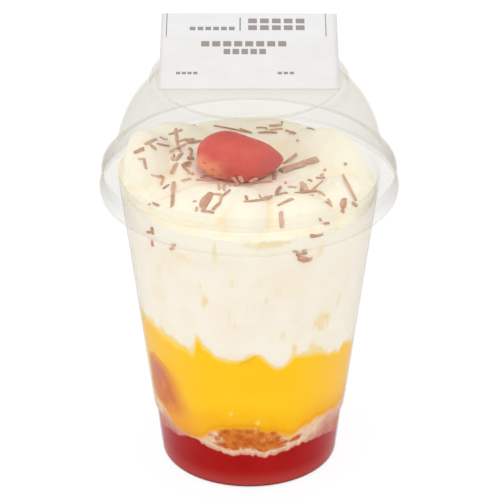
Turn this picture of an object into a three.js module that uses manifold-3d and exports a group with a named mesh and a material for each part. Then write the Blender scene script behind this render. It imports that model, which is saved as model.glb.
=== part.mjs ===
// A strawberry trifle in a clear plastic cup: jelly, sponge, custard and whipped cream in layers,
// with a hulled strawberry on top, under a clear domed lid that carries a paper label.
// Millimetres, +Z up. The origin is the centre of the cup's foot, on the surface it stands on.
// -Y is the front. Azimuths are degrees round the axis, 0 at the front and growing towards +X.

import * as THREE from 'three';
import { mergeVertices } from 'three/addons/utils/BufferGeometryUtils.js';
import Module from 'manifold-3d';

const wasm = await Module();
wasm.setup();

// ---- Facets and clearances ----
const TURN_FACETS = 48;           // facets round the axis of every round piece
const BERRY_FACETS = 22;
const BERRY_ROWS = 10;
const GAP = 0.3;                  // clearance between pieces that touch

// ---- Cup: [radius, height] pairs are on its outer face ----
const CUP_SKIN = 0.8;
const FOOT_RADIUS = 30.2;
const FOOT_CORNER = 1.9;
const PANEL_RADIUS = 25;          // the foot's middle is pushed up, so it stands on a ring
const PANEL_RISE = 1.2;
const FLOOR_HEIGHT = 2.1;         // inside floor
const STEP_FOOT = [32.0, 17.5];   // the stacking step, where the wall jogs outwards
const STEP_TOP = [33.04, 20.3];
const WALL_TOP = [44.5, 109];
const BEAD_RADIUS = 48.2;         // rolled rim that the lid snaps over
const BEAD_BOTTOM = 106.6;
const BEAD_TOP = 109.7;
const BEAD_ROUND = 0.8;

// ---- Lid ----
const LID_SKIN = 0.7;
const SKIRT_RADIUS = 49.8;
const SKIRT_LIP_RADIUS = 50.5;    // bead along the skirt's lower edge, the widest part
const SKIRT_BOTTOM = 101.2;
const SKIRT_LIP_HEIGHT = 102.6;
const SHOULDER_HEIGHT = 110.5;
const DOME_FOOT = [45.4, 112.7];
const DOME_SWELL = [42.9, 131.0]; // control point that the dome's curve bends towards
const DOME_TOP = [34.6, 137.0];
const DOME_STEPS = 7;
const RING_RADIUS = 33.4;         // raised ring round the flat top
const RING_WIDTH = 2.6;
const LID_TOP = 142.7;
const RECESS_DEPTH = 1.2;

// ---- Label: flat on the ring, then bent down behind the lid ----
const LABEL_WIDTH = 60;
const LABEL_THICK = 0.3;
const LABEL_FRONT = -10.6;
const LABEL_BEND_START = 48;
const LABEL_BEND_RADIUS = 2.5;
const LABEL_LEAN = THREE.MathUtils.degToRad(5);   // the flap leans in as it hangs
const LABEL_FLAP_LENGTH = 25.2;   // ends a little above the lid's shoulder

// ---- Food: heights of each layer's top at the cup wall and at the axis ----
// A bump is [azimuth, half width in degrees, rise in mm] on the level where a layer meets the wall.
const JELLY = { wall: 14.3, axis: 14.6, bumps: [[-38, 16, 3.1], [80, 14, -2.6], [170, 30, 1.6]] };
const SPONGE = {
  wall: 24.6, axis: 25.5,
  bumps: [[-52, 6, -5], [-36, 11, -7], [-4, 14, 2.4], [25, 7, -2.6], [120, 20, 3.0], [-150, 25, -3.2]],
};
const CUSTARD = {
  wall: 54.2, axis: 54.5,
  bumps: [[-63, 33, 4.6], [-26, 6, 5], [3, 7, 2.4], [15, 7, -4], [84, 24, -9], [160, 24, 3.5]],
};
const CREAM = { wall: 103.4, axis: 105.4, bumps: [[-105, 28, 4.2], [85, 36, -3.2], [180, 36, 2.2]] };
const SPONGE_MIN_THICK = 1.2;     // the sponge thins to this where custard runs down past it
const FOOD_STEP_END = 27;         // food bridges the cup's step up to this height
const INNER_RINGS = [0.35, 0.7, 1];
const CREAM_RINGS = [0.17, 0.36, 0.55, 0.74, 0.92, 1];
const SIDE_ROWS = 3;

// Spoonfuls of cream: [x, y, half length, half width, turn in degrees, height of its crest, and
// how far it falls to its edge].
const DOLLOPS = [
  [-12, -21, 19, 12, 4, 110.8, 6.5],
  [-1, -26, 9, 14, 0, 111.0, 6.5],
  [15, -25, 13, 12, 8, 109.2, 6.0],
  [31, -9, 12, 10, 70, 107.8, 5.0],
  [-37, 10, 14, 11, 75, 114.4, 5.0],
  [-24, 8, 11, 9, 0, 109.6, 4.5],
  [-25, 22, 16, 13, -35, 111.6, 5.0],
  [0, 31, 22, 10, 0, 110.6, 4.5],
  [25, 20, 15, 12, -40, 110.8, 5.5],
];
const DOLLOP_FALLOFF = 2.4;       // how flat a spoonful's crest is
const DOLLOP_FADE = 20;           // how close to the wall the spoonfuls still stand up

// ---- Strawberries ----
const TOP_BERRY = { length: 29.2, radius: 8.7, widest: 0.47, centre: [-3, 1, 110.6], yaw: 4 };
const BERRY_SHOULDER = 2.1;       // how soon the berry thins towards its stalk end
const BERRY_TAPER = 1.5;          // and towards its tip
const STALK_ROUND = 0.4;          // how pointed the stalk end is
const TIP_ROUND = 0.66;           // and the tip
const BERRY_HUNCH = 2.2;          // how much higher the stalk half's middle line lies
const HUNCH_FADE = [0.25, 0.65];  // where along the berry it comes down to the tip's
const WALL_BERRY = { azimuth: -61, height: 34.5, radii: [6.5, 9.6, 11.4], tilt: 12 };

// ---- Materials ----
const clearPlastic = new THREE.MeshStandardMaterial({
  color: 0xe9edee, roughness: 0.08, metalness: 0, transparent: true, opacity: 0.35,
});
const foodMaterial = (color, roughness) =>
  new THREE.MeshStandardMaterial({ color, roughness, metalness: 0 });

// ---- Solids ----

function toManifold(geometry) {
  const bare = geometry.clone();
  bare.deleteAttribute('normal');
  bare.deleteAttribute('uv');
  const merged = mergeVertices(bare, 1e-4);
  const corners = Array.from(merged.index.array);
  const triangles = [];
  for (let i = 0; i < corners.length; i += 3) {
    const [a, b, c] = corners.slice(i, i + 3);
    if (a !== b && b !== c && c !== a) triangles.push(a, b, c);
  }
  return new wasm.Manifold(new wasm.Mesh({
    numProp: 3,
    vertProperties: Float32Array.from(merged.attributes.position.array),
    triVerts: Uint32Array.from(triangles),
  }));
}

function toGeometry(solid) {
  const mesh = solid.getMesh();
  const geometry = new THREE.BufferGeometry();
  geometry.setAttribute('position', new THREE.BufferAttribute(mesh.vertProperties, 3));
  geometry.setIndex(new THREE.BufferAttribute(mesh.triVerts, 1));
  return geometry;
}

// Turns an outline of [radius, height] pairs about +Z. The outline runs up the outside.
function turned(outline, facets = TURN_FACETS) {
  const points = outline.map(([radius, height]) => new THREE.Vector2(radius, height));
  return new THREE.LatheGeometry(points, facets).rotateX(Math.PI / 2);
}

function corner(centre, radius, fromDegrees, toDegrees, steps = 3) {
  return Array.from({ length: steps + 1 }, (_, i) => {
    const angle = THREE.MathUtils.degToRad(fromDegrees + ((toDegrees - fromDegrees) * i) / steps);
    return [centre[0] + radius * Math.cos(angle), centre[1] + radius * Math.sin(angle)];
  });
}

// Radius at a height on a line through [radius, height] pairs.
function radiusAlong(line, height) {
  const next = Math.max(1, line.findIndex(([, h], i) => h >= height || i === line.length - 1));
  const [[r0, h0], [r1, h1]] = [line[next - 1], line[next]];
  return r0 + ((r1 - r0) * (height - h0)) / (h1 - h0);
}

// ---- Cup ----

const cupWall = [[FOOT_RADIUS, FOOT_CORNER], STEP_FOOT, STEP_TOP, WALL_TOP];
const innerWall = cupWall.map(([radius, height]) => [radius - CUP_SKIN, height]);

function cupGeometry() {
  const beadInner = radiusAlong(cupWall, BEAD_BOTTOM);
  const outside = [
    [0, PANEL_RISE],
    [PANEL_RADIUS - PANEL_RISE, PANEL_RISE],
    [PANEL_RADIUS, 0],
    ...corner([FOOT_RADIUS - FOOT_CORNER, FOOT_CORNER], FOOT_CORNER, -90, 0),
    STEP_FOOT,
    STEP_TOP,
    [beadInner, BEAD_BOTTOM],
    ...corner([BEAD_RADIUS - BEAD_ROUND, BEAD_BOTTOM + BEAD_ROUND], BEAD_ROUND, -90, 0, 2),
    ...corner([BEAD_RADIUS - BEAD_ROUND, BEAD_TOP - BEAD_ROUND], BEAD_ROUND, 0, 90, 2),
    [WALL_TOP[0] + BEAD_ROUND, BEAD_TOP],
  ];
  const inside = [
    [WALL_TOP[0] - CUP_SKIN, BEAD_TOP - BEAD_ROUND],
    [radiusAlong(innerWall, STEP_TOP[1]), STEP_TOP[1]],
    [radiusAlong(innerWall, STEP_FOOT[1]), STEP_FOOT[1]],
    [radiusAlong(innerWall, FLOOR_HEIGHT), FLOOR_HEIGHT],
    [0, FLOOR_HEIGHT],
  ];
  return turned([...outside, ...inside]);
}

// ---- Lid ----

function domeCurve(inset) {
  const [foot, swell, top] = [DOME_FOOT, DOME_SWELL, DOME_TOP]
    .map(([radius, height]) => new THREE.Vector2(radius - inset, height));
  const curve = new THREE.QuadraticBezierCurve(foot, swell, top);
  return curve.getPoints(DOME_STEPS).map((point) => [point.x, point.y]);
}

function lidGeometry() {
  const recess = LID_TOP - RECESS_DEPTH;
  const ceiling = recess - LID_SKIN;
  const outside = [
    [SKIRT_RADIUS - LID_SKIN, SKIRT_BOTTOM],
    [SKIRT_LIP_RADIUS - 0.4, SKIRT_BOTTOM],
    [SKIRT_LIP_RADIUS, SKIRT_LIP_HEIGHT],
    [SKIRT_RADIUS, SKIRT_LIP_HEIGHT + 2.4],
    [SKIRT_RADIUS, SHOULDER_HEIGHT - 0.4],
    [SKIRT_RADIUS - 0.8, SHOULDER_HEIGHT + 0.6],
    [DOME_FOOT[0] + 0.9, DOME_FOOT[1] - 0.9],
    ...domeCurve(0),
    [RING_RADIUS, DOME_TOP[1] + 1],
    ...corner([RING_RADIUS - 0.7, LID_TOP - 0.7], 0.7, 0, 90, 2),
    [RING_RADIUS - RING_WIDTH + 0.6, LID_TOP],
    [RING_RADIUS - RING_WIDTH, recess],
    [0, recess],
  ];
  const inside = [
    [0, ceiling],
    [RING_RADIUS - LID_SKIN, ceiling],
    [RING_RADIUS - LID_SKIN, DOME_TOP[1] + 0.5],
    ...domeCurve(LID_SKIN).reverse(),
    [DOME_FOOT[0] + 0.5, DOME_FOOT[1] - 1.6],
    [SKIRT_RADIUS - LID_SKIN - 0.5, SHOULDER_HEIGHT - 0.1],
    [SKIRT_RADIUS - LID_SKIN, SHOULDER_HEIGHT - 0.9],
    [SKIRT_RADIUS - LID_SKIN, SKIRT_BOTTOM],
  ];
  return turned([...outside, ...inside]);
}

// ---- Label ----

function labelGeometry() {
  const underside = LID_TOP + GAP;
  const centre = [LABEL_BEND_START, underside + LABEL_THICK - LABEL_BEND_RADIUS];
  const leanAngle = -LABEL_LEAN;
  const flap = new THREE.Vector2(Math.sin(leanAngle), -Math.cos(leanAngle))
    .multiplyScalar(LABEL_FLAP_LENGTH);
  const innerRadius = LABEL_BEND_RADIUS - LABEL_THICK;
  const bendEnd = (radius) => [
    centre[0] + radius * Math.cos(leanAngle), centre[1] + radius * Math.sin(leanAngle),
  ];
  const [outerEnd, innerEnd] = [bendEnd(LABEL_BEND_RADIUS), bendEnd(innerRadius)];
  const section = new THREE.Shape();
  section.moveTo(LABEL_FRONT, underside);
  section.lineTo(centre[0], underside);
  section.absarc(...centre, innerRadius, Math.PI / 2, leanAngle, true);
  section.lineTo(innerEnd[0] + flap.x, innerEnd[1] + flap.y);
  section.lineTo(outerEnd[0] + flap.x, outerEnd[1] + flap.y);
  section.lineTo(...outerEnd);
  section.absarc(...centre, LABEL_BEND_RADIUS, leanAngle, Math.PI / 2, false);
  section.lineTo(LABEL_FRONT, underside + LABEL_THICK);
  section.closePath();
  const geometry = new THREE.ExtrudeGeometry(section, {
    depth: LABEL_WIDTH, bevelEnabled: false, curveSegments: 6,
  });
  const axes = new THREE.Matrix4().makeBasis(
    new THREE.Vector3(0, 1, 0), new THREE.Vector3(0, 0, 1), new THREE.Vector3(1, 0, 0),
  );
  return geometry.translate(0, 0, -LABEL_WIDTH / 2).applyMatrix4(axes);
}

// ---- Food ----

const foodWall = [
  innerWall[0],
  innerWall[1],
  [radiusAlong(innerWall, FOOD_STEP_END), FOOD_STEP_END],
  innerWall[3],
].map(([radius, height]) => [radius - GAP, height]);

const foodRadius = (height) => radiusAlong(foodWall, height);

// Height of a layer's top at an azimuth, at a share of the way from the axis to the wall.
function layerTop(layer, azimuth, share) {
  const rise = layer.bumps.reduce((sum, [centre, width, height]) => {
    const away = THREE.MathUtils.euclideanModulo(azimuth - centre + 180, 360) - 180;
    return sum + height * Math.exp(-((away / width) ** 2));
  }, 0);
  return THREE.MathUtils.lerp(layer.axis, layer.wall + rise, share ** 2);
}

const jellyTop = (azimuth, share) => layerTop(JELLY, azimuth, share);

const spongeTop = (azimuth, share) =>
  Math.max(layerTop(SPONGE, azimuth, share), jellyTop(azimuth, share) + GAP + SPONGE_MIN_THICK);

const custardTop = (azimuth, share) => layerTop(CUSTARD, azimuth, share);

function dollopTop(x, y, [cx, cy, halfLength, halfWidth, turn, crest, fall]) {
  const angle = THREE.MathUtils.degToRad(turn);
  const [dx, dy] = [x - cx, y - cy];
  const along = (dx * Math.cos(angle) + dy * Math.sin(angle)) / halfLength;
  const across = (dy * Math.cos(angle) - dx * Math.sin(angle)) / halfWidth;
  return crest - fall * Math.hypot(along, across) ** DOLLOP_FALLOFF;
}

function creamTop(azimuth, share) {
  const angle = THREE.MathUtils.degToRad(azimuth);
  const radius = share * foodRadius(CREAM.wall);
  const [x, y] = [radius * Math.sin(angle), -radius * Math.cos(angle)];
  const level = layerTop(CREAM, azimuth, share);
  const crest = Math.max(level, ...DOLLOPS.map((dollop) => dollopTop(x, y, dollop)));
  return THREE.MathUtils.lerp(crest, level, share ** DOLLOP_FADE);
}

// A layer that fills the cup between two surfaces: rows of points run from the middle of its
// underside out to the wall, up the wall, and back in to the middle of its top. Both surfaces
// split their quads along the same diagonals, so that layers nest.
function layerGeometry(bottomAt, topAt, bottomRings, topRings) {
  const surfaceRow = (heightAt) => (share) => (azimuth) => {
    const height = heightAt(azimuth, share);
    return [share * foodRadius(heightAt(azimuth, 1)), height];
  };
  const sideRow = (step) => (azimuth) => {
    const height = THREE.MathUtils.lerp(bottomAt(azimuth, 1), topAt(azimuth, 1), step / SIDE_ROWS);
    return [foodRadius(height), height];
  };
  const rows = [
    ...bottomRings.map(surfaceRow(bottomAt)),
    ...Array.from({ length: SIDE_ROWS - 1 }, (_, i) => sideRow(i + 1)),
    ...topRings.toReversed().map(surfaceRow(topAt)),
  ];
  const positions = [0, 0, bottomAt(0, 0)];
  for (const row of rows) {
    for (let i = 0; i < TURN_FACETS; i += 1) {
      const azimuth = (360 * i) / TURN_FACETS;
      const angle = THREE.MathUtils.degToRad(azimuth);
      const [radius, height] = row(azimuth);
      positions.push(radius * Math.sin(angle), -radius * Math.cos(angle), height);
    }
  }
  positions.push(0, 0, topAt(0, 0));
  const lastPoint = rows.length * TURN_FACETS + 1;
  const firstTopRow = rows.length - topRings.length;
  const point = (row, i) => 1 + row * TURN_FACETS + (i % TURN_FACETS);
  const triangles = [];
  for (let i = 0; i < TURN_FACETS; i += 1) {
    triangles.push(0, point(0, i + 1), point(0, i));
    for (let row = 0; row < rows.length - 1; row += 1) {
      const [a, b] = [point(row, i), point(row, i + 1)];
      const [c, d] = [point(row + 1, i + 1), point(row + 1, i)];
      if (row < firstTopRow) triangles.push(a, b, c, a, c, d);
      else triangles.push(a, b, d, b, c, d);
    }
    triangles.push(lastPoint, point(rows.length - 1, i), point(rows.length - 1, i + 1));
  }
  const geometry = new THREE.BufferGeometry();
  geometry.setAttribute('position', new THREE.Float32BufferAttribute(positions, 3));
  geometry.setIndex(triangles);
  return geometry;
}

// ---- Strawberries ----

// A berry's radius, as a share of its widest, at a share of the way from stalk end to tip.
function berrySwell(along) {
  const { widest } = TOP_BERRY;
  if (along < widest) return (1 - ((widest - along) / widest) ** BERRY_SHOULDER) ** STALK_ROUND;
  return (1 - ((along - widest) / (1 - widest)) ** BERRY_TAPER) ** TIP_ROUND;
}

// Raises the stalk half of a berry that lies along X.
function hunched(berry, length) {
  const points = berry.attributes.position;
  for (let i = 0; i < points.count; i += 1) {
    const along = points.getX(i) / length + 0.5;
    const fade = 1 - THREE.MathUtils.smoothstep(along, ...HUNCH_FADE);
    points.setZ(i, points.getZ(i) + BERRY_HUNCH * fade);
  }
  return berry;
}

// A whole berry, hulled, lying on its side with its tip towards +X. growth makes it larger on
// every side, which is the room that it takes in the cream.
function topBerrySolid(growth) {
  const [length, radius] = [TOP_BERRY.length + 2 * growth, TOP_BERRY.radius + growth];
  const outline = Array.from({ length: BERRY_ROWS + 1 }, (_, i) => {
    const along = (1 - Math.cos((Math.PI * i) / BERRY_ROWS)) / 2;
    return [radius * berrySwell(along), length * (along - 0.5)];
  });
  const place = new THREE.Matrix4().makeRotationZ(THREE.MathUtils.degToRad(TOP_BERRY.yaw));
  place.setPosition(...TOP_BERRY.centre);
  const berry = hunched(turned(outline, BERRY_FACETS).rotateY(Math.PI / 2), length);
  return toManifold(berry.applyMatrix4(place));
}

// A cut piece of berry pressed against the cup wall, inside the custard.
function wallBerrySolid(swell) {
  const radii = WALL_BERRY.radii.map((radius) => radius + swell);
  const angle = THREE.MathUtils.degToRad(WALL_BERRY.azimuth);
  const reach = foodRadius(WALL_BERRY.height);
  const place = new THREE.Matrix4().makeRotationZ(angle - Math.PI / 2)
    .multiply(new THREE.Matrix4().makeRotationX(THREE.MathUtils.degToRad(WALL_BERRY.tilt)))
    .multiply(new THREE.Matrix4().makeScale(...radii));
  place.setPosition(reach * Math.sin(angle), -reach * Math.cos(angle), WALL_BERRY.height);
  const ball = new THREE.SphereGeometry(1, BERRY_FACETS, BERRY_ROWS).applyMatrix4(place);
  return toManifold(ball);
}

// The space that food can fill, from the floor to the rim.
function foodSpaceSolid() {
  const low = FLOOR_HEIGHT + GAP;
  const outline = [[0, low], [foodRadius(low), low], ...foodWall.slice(1), [0, WALL_TOP[1]]];
  return toManifold(turned(outline));
}

// ---- Assembly ----

const floorAt = () => FLOOR_HEIGHT + GAP;
const above = (surface) => (azimuth, share) => surface(azimuth, share) + GAP;

const jelly = layerGeometry(floorAt, jellyTop, INNER_RINGS, INNER_RINGS);
const sponge = layerGeometry(above(jellyTop), spongeTop, INNER_RINGS, INNER_RINGS);
const custard = layerGeometry(above(spongeTop), custardTop, INNER_RINGS, INNER_RINGS);
const cream = layerGeometry(above(custardTop), creamTop, INNER_RINGS, CREAM_RINGS);

const wallBerry = wallBerrySolid(0).intersect(foodSpaceSolid());
const wallBerryRoom = wallBerrySolid(GAP);
const topBerry = topBerrySolid(0);
const topBerryRoom = topBerrySolid(GAP);

const pieces = [
  ['cup', cupGeometry(), clearPlastic],
  ['jelly', jelly, foodMaterial(0xa92925, 0.15)],
  ['sponge', toGeometry(toManifold(sponge).subtract(wallBerryRoom)), foodMaterial(0xd79267, 0.9)],
  ['custard', toGeometry(toManifold(custard).subtract(wallBerryRoom)), foodMaterial(0xfecb2b, 0.4)],
  ['wall_strawberry', toGeometry(wallBerry), foodMaterial(0xdb8956, 0.5)],
  ['cream', toGeometry(toManifold(cream).subtract(topBerryRoom)), foodMaterial(0xf9efdc, 0.6)],
  ['top_strawberry', toGeometry(topBerry), foodMaterial(0xd9645a, 0.25)],
  ['lid', lidGeometry(), clearPlastic],
  ['label', labelGeometry(), foodMaterial(0xf0efeb, 0.6)],
];

const group = new THREE.Group();
for (const [name, geometry, material] of pieces) {
  const mesh = new THREE.Mesh(geometry, material);
  mesh.name = name;
  group.add(mesh);
}

export default group;
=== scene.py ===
"""Looks of a strawberry trifle in a clear cup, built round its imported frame.

Shapes are worked out in millimetres, in the frame's axes, and become metres when a mesh is made.
Azimuths are degrees round the cup's axis: 0 at the front (-Y), growing towards +X.
"""

import itertools
import math
import random

import bpy
import numpy as np
from mathutils import Matrix, Vector


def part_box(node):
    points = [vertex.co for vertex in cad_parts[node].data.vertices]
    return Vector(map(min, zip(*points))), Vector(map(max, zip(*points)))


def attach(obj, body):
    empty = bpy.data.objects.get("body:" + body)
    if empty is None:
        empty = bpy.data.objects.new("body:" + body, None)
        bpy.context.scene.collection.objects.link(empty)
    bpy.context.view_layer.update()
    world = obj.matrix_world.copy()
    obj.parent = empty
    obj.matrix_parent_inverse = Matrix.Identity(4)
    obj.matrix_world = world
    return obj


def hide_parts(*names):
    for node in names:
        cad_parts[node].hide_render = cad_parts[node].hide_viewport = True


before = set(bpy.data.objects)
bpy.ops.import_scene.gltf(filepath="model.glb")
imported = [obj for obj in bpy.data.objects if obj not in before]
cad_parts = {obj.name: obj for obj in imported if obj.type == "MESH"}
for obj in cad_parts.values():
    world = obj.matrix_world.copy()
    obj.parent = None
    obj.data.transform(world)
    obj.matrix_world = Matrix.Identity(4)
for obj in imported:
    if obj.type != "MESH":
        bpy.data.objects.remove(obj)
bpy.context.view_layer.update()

MM = 0.001


def node_box(node):
    """A CAD node's lowest and highest corners in millimetres."""
    low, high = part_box(node)
    return np.array(low) / MM, np.array(high) / MM


CUP_HIGH = node_box("cup")[1]
LID_LOW, LID_HIGH = node_box("lid")
LABEL_LOW, LABEL_HIGH = node_box("label")
BERRY_LOW, BERRY_HIGH = node_box("top_strawberry")

# ---- Camera and room ----
CAMERA_ELEVATION = math.radians(28.23)
CAMERA_DISTANCE = 1400
CAMERA_TARGET = (0.27, 0, 76.9)
SENSOR_WIDTH = 36
LENS = 296.35
FRAME_SIDE = 500           # pixels
FLOOR_SIZE = 12
FLOOR_GLOW = 0.895         # the floor is a light table, so that no hard shadow shows
WORLD_LIGHT = 0.95
CLEAR_BOUNCES = 32         # clear surfaces that light may pass in a row
# name, place in metres, side in metres, power in watts
SOFTBOXES = [
    ("key_softbox", (-0.9, -0.8, 2.1), 1.5, 15),
    ("fill_softbox", (0.9, -0.8, 1.9), 1.5, 7),
    ("back_softbox", (0.2, 1.1, 1.7), 1.2, 6),
]

# ---- Cup: (radius, height) on its outer face ----
SEGMENTS = 192
CUP_SKIN = 0.6
FOOT_RADIUS = 30.2
FOOT_CORNER = 1.9
PANEL_RADIUS = 25
PANEL_RISE = 1.2
STEP_FOOT = (32.0, 17.5)
STEP_TOP = (33.04, 20.3)
WALL_TOP = (44.5, 109.0)
BEAD_BOTTOM = 106.6
NECK_HEIGHT = 106.0        # where the wall turns out into the rim
FOOD_REACH = 0.25          # how far food reaches into the wall, so that no air gap shows

# ---- Lid ----
LID_SKIN = 0.5
SKIRT_RADIUS = 49.8
LIP_HEIGHT = 2.0           # of the lip round the skirt's foot
SHOULDER_HEIGHT = 110.6
DOME_FOOT = (45.4, 112.7)
DOME_SWELL = (42.9, 131.0)
DOME_TOP = (34.6, 137.0)
RING_RADIUS = 33.4
RING_WIDTH = 2.6
RECESS_DEPTH = 1.2

# ---- Clear plastics: light let through, colour of the haze, haze seen face on, haze at the edges,
# how late it thickens towards them, gloss, and light let through at the edges where it differs ----
CUP_PLASTICS = {
    "cup_foot_plastic": ((0.986, 0.986, 0.984), (190, 190, 191), 0.003, 0.40, 4.0, 0.3),
    "cup_wall_plastic": ((0.991, 0.991, 0.989), (180, 180, 182), 0.003, 0.50, 5.0, 0.3),
    "cup_rim_plastic": ((0.994, 0.994, 0.992), (240, 238, 232), 0.003, 0.06, 4.0, 0.5),
}
LID_PLASTICS = {
    "lid_dome_plastic": ((0.953, 0.950, 0.936), (218, 216, 206), 0.03, 0.30, 2.4, 0.5),
    "lid_skirt_plastic": ((0.980, 0.977, 0.970), (174, 170, 160), 0.01, 0.58, 2.4, 0.2),
    "lid_lip_plastic": ((0.984, 0.982, 0.976), (196, 192, 182), 0.02, 0.35, 2.4, 0.2),
    "lid_shoulder_plastic": (
        (0.934, 0.928, 0.911), (202, 199, 190), 0.03, 0.10, 3.0, 0.1, (0.998, 0.998, 0.997)),
}
RIM_START = BEAD_BOTTOM - 1.5              # the rim's plastic begins here
SHOULDER_START = SHOULDER_HEIGHT - 1.5     # and the shoulder's here

# ---- Label ----
LABEL_THICK = 0.16
LABEL_BEND_RADIUS = 2.5
LABEL_LEAN = math.radians(5)
LABEL_LIFT = 0.05          # of the label above the lid's ring
LABEL_WAVE = 0.10          # how far its sheet waves near the bend
LABEL_GRID = 24
BEND_STEPS = 10
FLAP_STEPS = 16
PANEL_START = 29.9         # the pale printed panel runs from here over the bend
PANEL_SIDES = (-28.3, 25.9)
RULE_WIDTH = 0.35
# Rows of plain blocks in place of print: (first x, last x, centre y, block height, blocks)
LABEL_ROWS = [
    (-16.7, 13.0, 24.3, 4.2, 8),
    (-9.0, 6.0, 18.2, 4.2, 5),
    (-24.6, -17.0, 1.6, 2.0, 4),
    (9.2, 15.2, 1.6, 2.0, 3),
    (-20.6, -4.6, 36.4, 2.8, 6),
    (-0.9, 19.4, 42.4, 3.8, 5),
    (-0.9, 19.4, 37.0, 3.8, 5),
]
LABEL_DIVIDER = (-3.1, 39.8, 0.5, 10.5)    # centre x, centre y, width, height
BLOCK_SHARE = 0.74         # how much of its place in the row a block fills

# ---- Food: each layer's height at the wall, bumps there (azimuth, half width, rise), how high the
# ripples and the raggedness of its edge are, and the seed of both ----
JELLY = {
    "wall": 14.3,
    "bumps": [
        (-38, 14, 3.3), (-62, 9, 1.2), (-76, 8, -1.2), (9, 5, -1.0), (40, 15, 1.6), (80, 14, -2.6),
        (170, 30, 1.6),
    ],
    "ripple": 0.35,
    "ragged": 0.7,
    "seed": 11,
}
SPONGE = {
    "wall": 24.6,
    "bumps": [
        (-68, 9, 1.4), (-46, 8, -6.0), (-33, 8, -5.5), (-4, 14, 2.4), (24, 8, -2.8),
        (45, 10, 0.8), (120, 20, 3.0), (-150, 25, -3.2),
    ],
    "ripple": 0.9,
    "ragged": 0.5,
    "seed": 21,
}
CUSTARD = {
    "wall": 54.1,
    "bumps": [
        (-64, 34, 4.6), (-95, 16, 2.2), (-27.3, 1.7, 4.6), (-24, 4.6, 3.4), (-31, 2.4, -1.6),
        (3.5, 6, 2.7), (13.5, 4.4, -2.8), (18.8, 3.8, -2.5), (24, 2.5, 1.0), (49, 8, -3.2),
        (56.3, 2.6, -2.4), (85, 22, -9.2), (160, 24, 3.5), (-125, 14, -3.0),
    ],
    "ripple": 0.35,
    "ragged": 0.25,
    "seed": 31,
}
CREAM = {
    "wall": 103.2,
    "bumps": [(-105, 28, 4.2), (85, 36, -4.2), (180, 40, 2.4)],
    "ripple": 0.5,
    "ragged": 0.0,
    "seed": 41,
}
CREAM_MIDDLE = 106.0       # the cream's height at the axis, below its spoonfuls
CREAM_RADIUS = 43.4        # at its edge, where it meets the wall
SPONGE_MIN_THICK = 1.2
AZIMUTH_STEPS = 480
SIDE_STEPS = 30
TOP_STEPS = 96
HIDDEN_ROWS = (0.4, 0.8)   # rings of points on a hidden face, as shares of its radius
# Radii of about where the layers' sides lie, at which their edges and patches are worked out
EDGE_RADIUS = 36.0
SPONGE_RADIUS = 32.0
CUSTARD_RADIUS = 37.0
CREAM_SIDE_RADIUS = 38.0

# Spoonfuls of cream: (x, y, half length, half width, turn, crest height, how far its edge falls)
DOLLOPS = [
    (-12, -21, 19, 12, 4, 110.8, 6.5),
    (-1, -26, 9, 14, 0, 111.0, 6.5),
    (15, -25, 13, 12, 8, 109.2, 6.0),
    (31, -9, 12, 10, 70, 107.8, 5.0),
    (-37, 10, 14, 11, 75, 114.4, 5.0),
    (-24, 8, 11, 9, 0, 109.6, 4.5),
    (-25, 22, 16, 13, -35, 111.6, 5.0),
    (0, 31, 22, 10, 0, 110.6, 4.5),
    (25, 20, 15, 12, -40, 110.8, 5.5),
]
DOLLOP_FALLOFF = 2.4       # how flat a spoonful's crest is
DOLLOP_BLEND = 1.3         # how softly spoonfuls run into each other
CREASE_REACH = 3.6         # how far off a crease's sides are looked for
# Folds in the custard, darkened with painted shade: (azimuth, height) of both ends, strength
CUSTARD_CREASES = [((-4.5, 53.2), (3.2, 56.2), 0.7), ((-1.0, 52.4), (1.0, 53.2), 0.4)]
# Pale crumbs in it: (azimuth, height, radius, strength)
CUSTARD_SPECKS = [
    (-10.3, 31.9, 0.7, 0.7), (-14.8, 30.2, 0.6, 0.3), (5.0, 28.4, 0.9, 0.8), (112, 33, 1.2, 0.7),
    (-120, 38, 1.0, 0.6), (170, 31, 0.9, 0.6),
]
# Air pockets between cream and cup: (azimuth, height, half width, half height, strength)
AIR_POCKETS = [
    (-22.5, 77.4, 1.6, 1.1, 1.0), (-20.4, 78.2, 1.2, 0.6, 0.7), (-22.6, 75.6, 0.8, 1.0, 0.5),
    (-23.5, 82.5, 0.6, 0.9, 0.4), (40, 65, 3.2, 3.0, 0.8),
    (-8, 86.5, 0.7, 1.6, 0.4), (8, 79, 0.9, 0.8, 0.5), (13.5, 82.7, 1.1, 1.2, 0.3),
    (-15.7, 97.5, 0.8, 3.2, 0.5), (-32, 93, 3.4, 1.1, 0.4), (9, 101.5, 6.5, 1.5, 0.5),
    (34, 95.8, 1.5, 2.4, 0.4), (-9.5, 72.5, 0.5, 1.6, 0.35), (-7.5, 69.2, 0.6, 1.4, 0.35),
    (17, 63.2, 1.4, 1.0, 0.5), (24, 58.5, 1.5, 0.9, 0.6), (49, 71, 0.7, 2.6, 0.5),
    (-1, 76, 0.5, 3.0, 0.2), (6, 87.5, 2.6, 0.5, 0.2), (26, 75, 1.4, 0.8, 0.2),
    (-47, 84, 1.2, 2.0, 0.2), (120, 80, 1.4, 2.2, 0.6), (160, 92, 2.0, 1.2, 0.5),
    (-140, 74, 3.0, 2.6, 0.6), (-110, 88, 1.0, 2.4, 0.5), (95, 70, 0.8, 2.0, 0.5),
]

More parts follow.
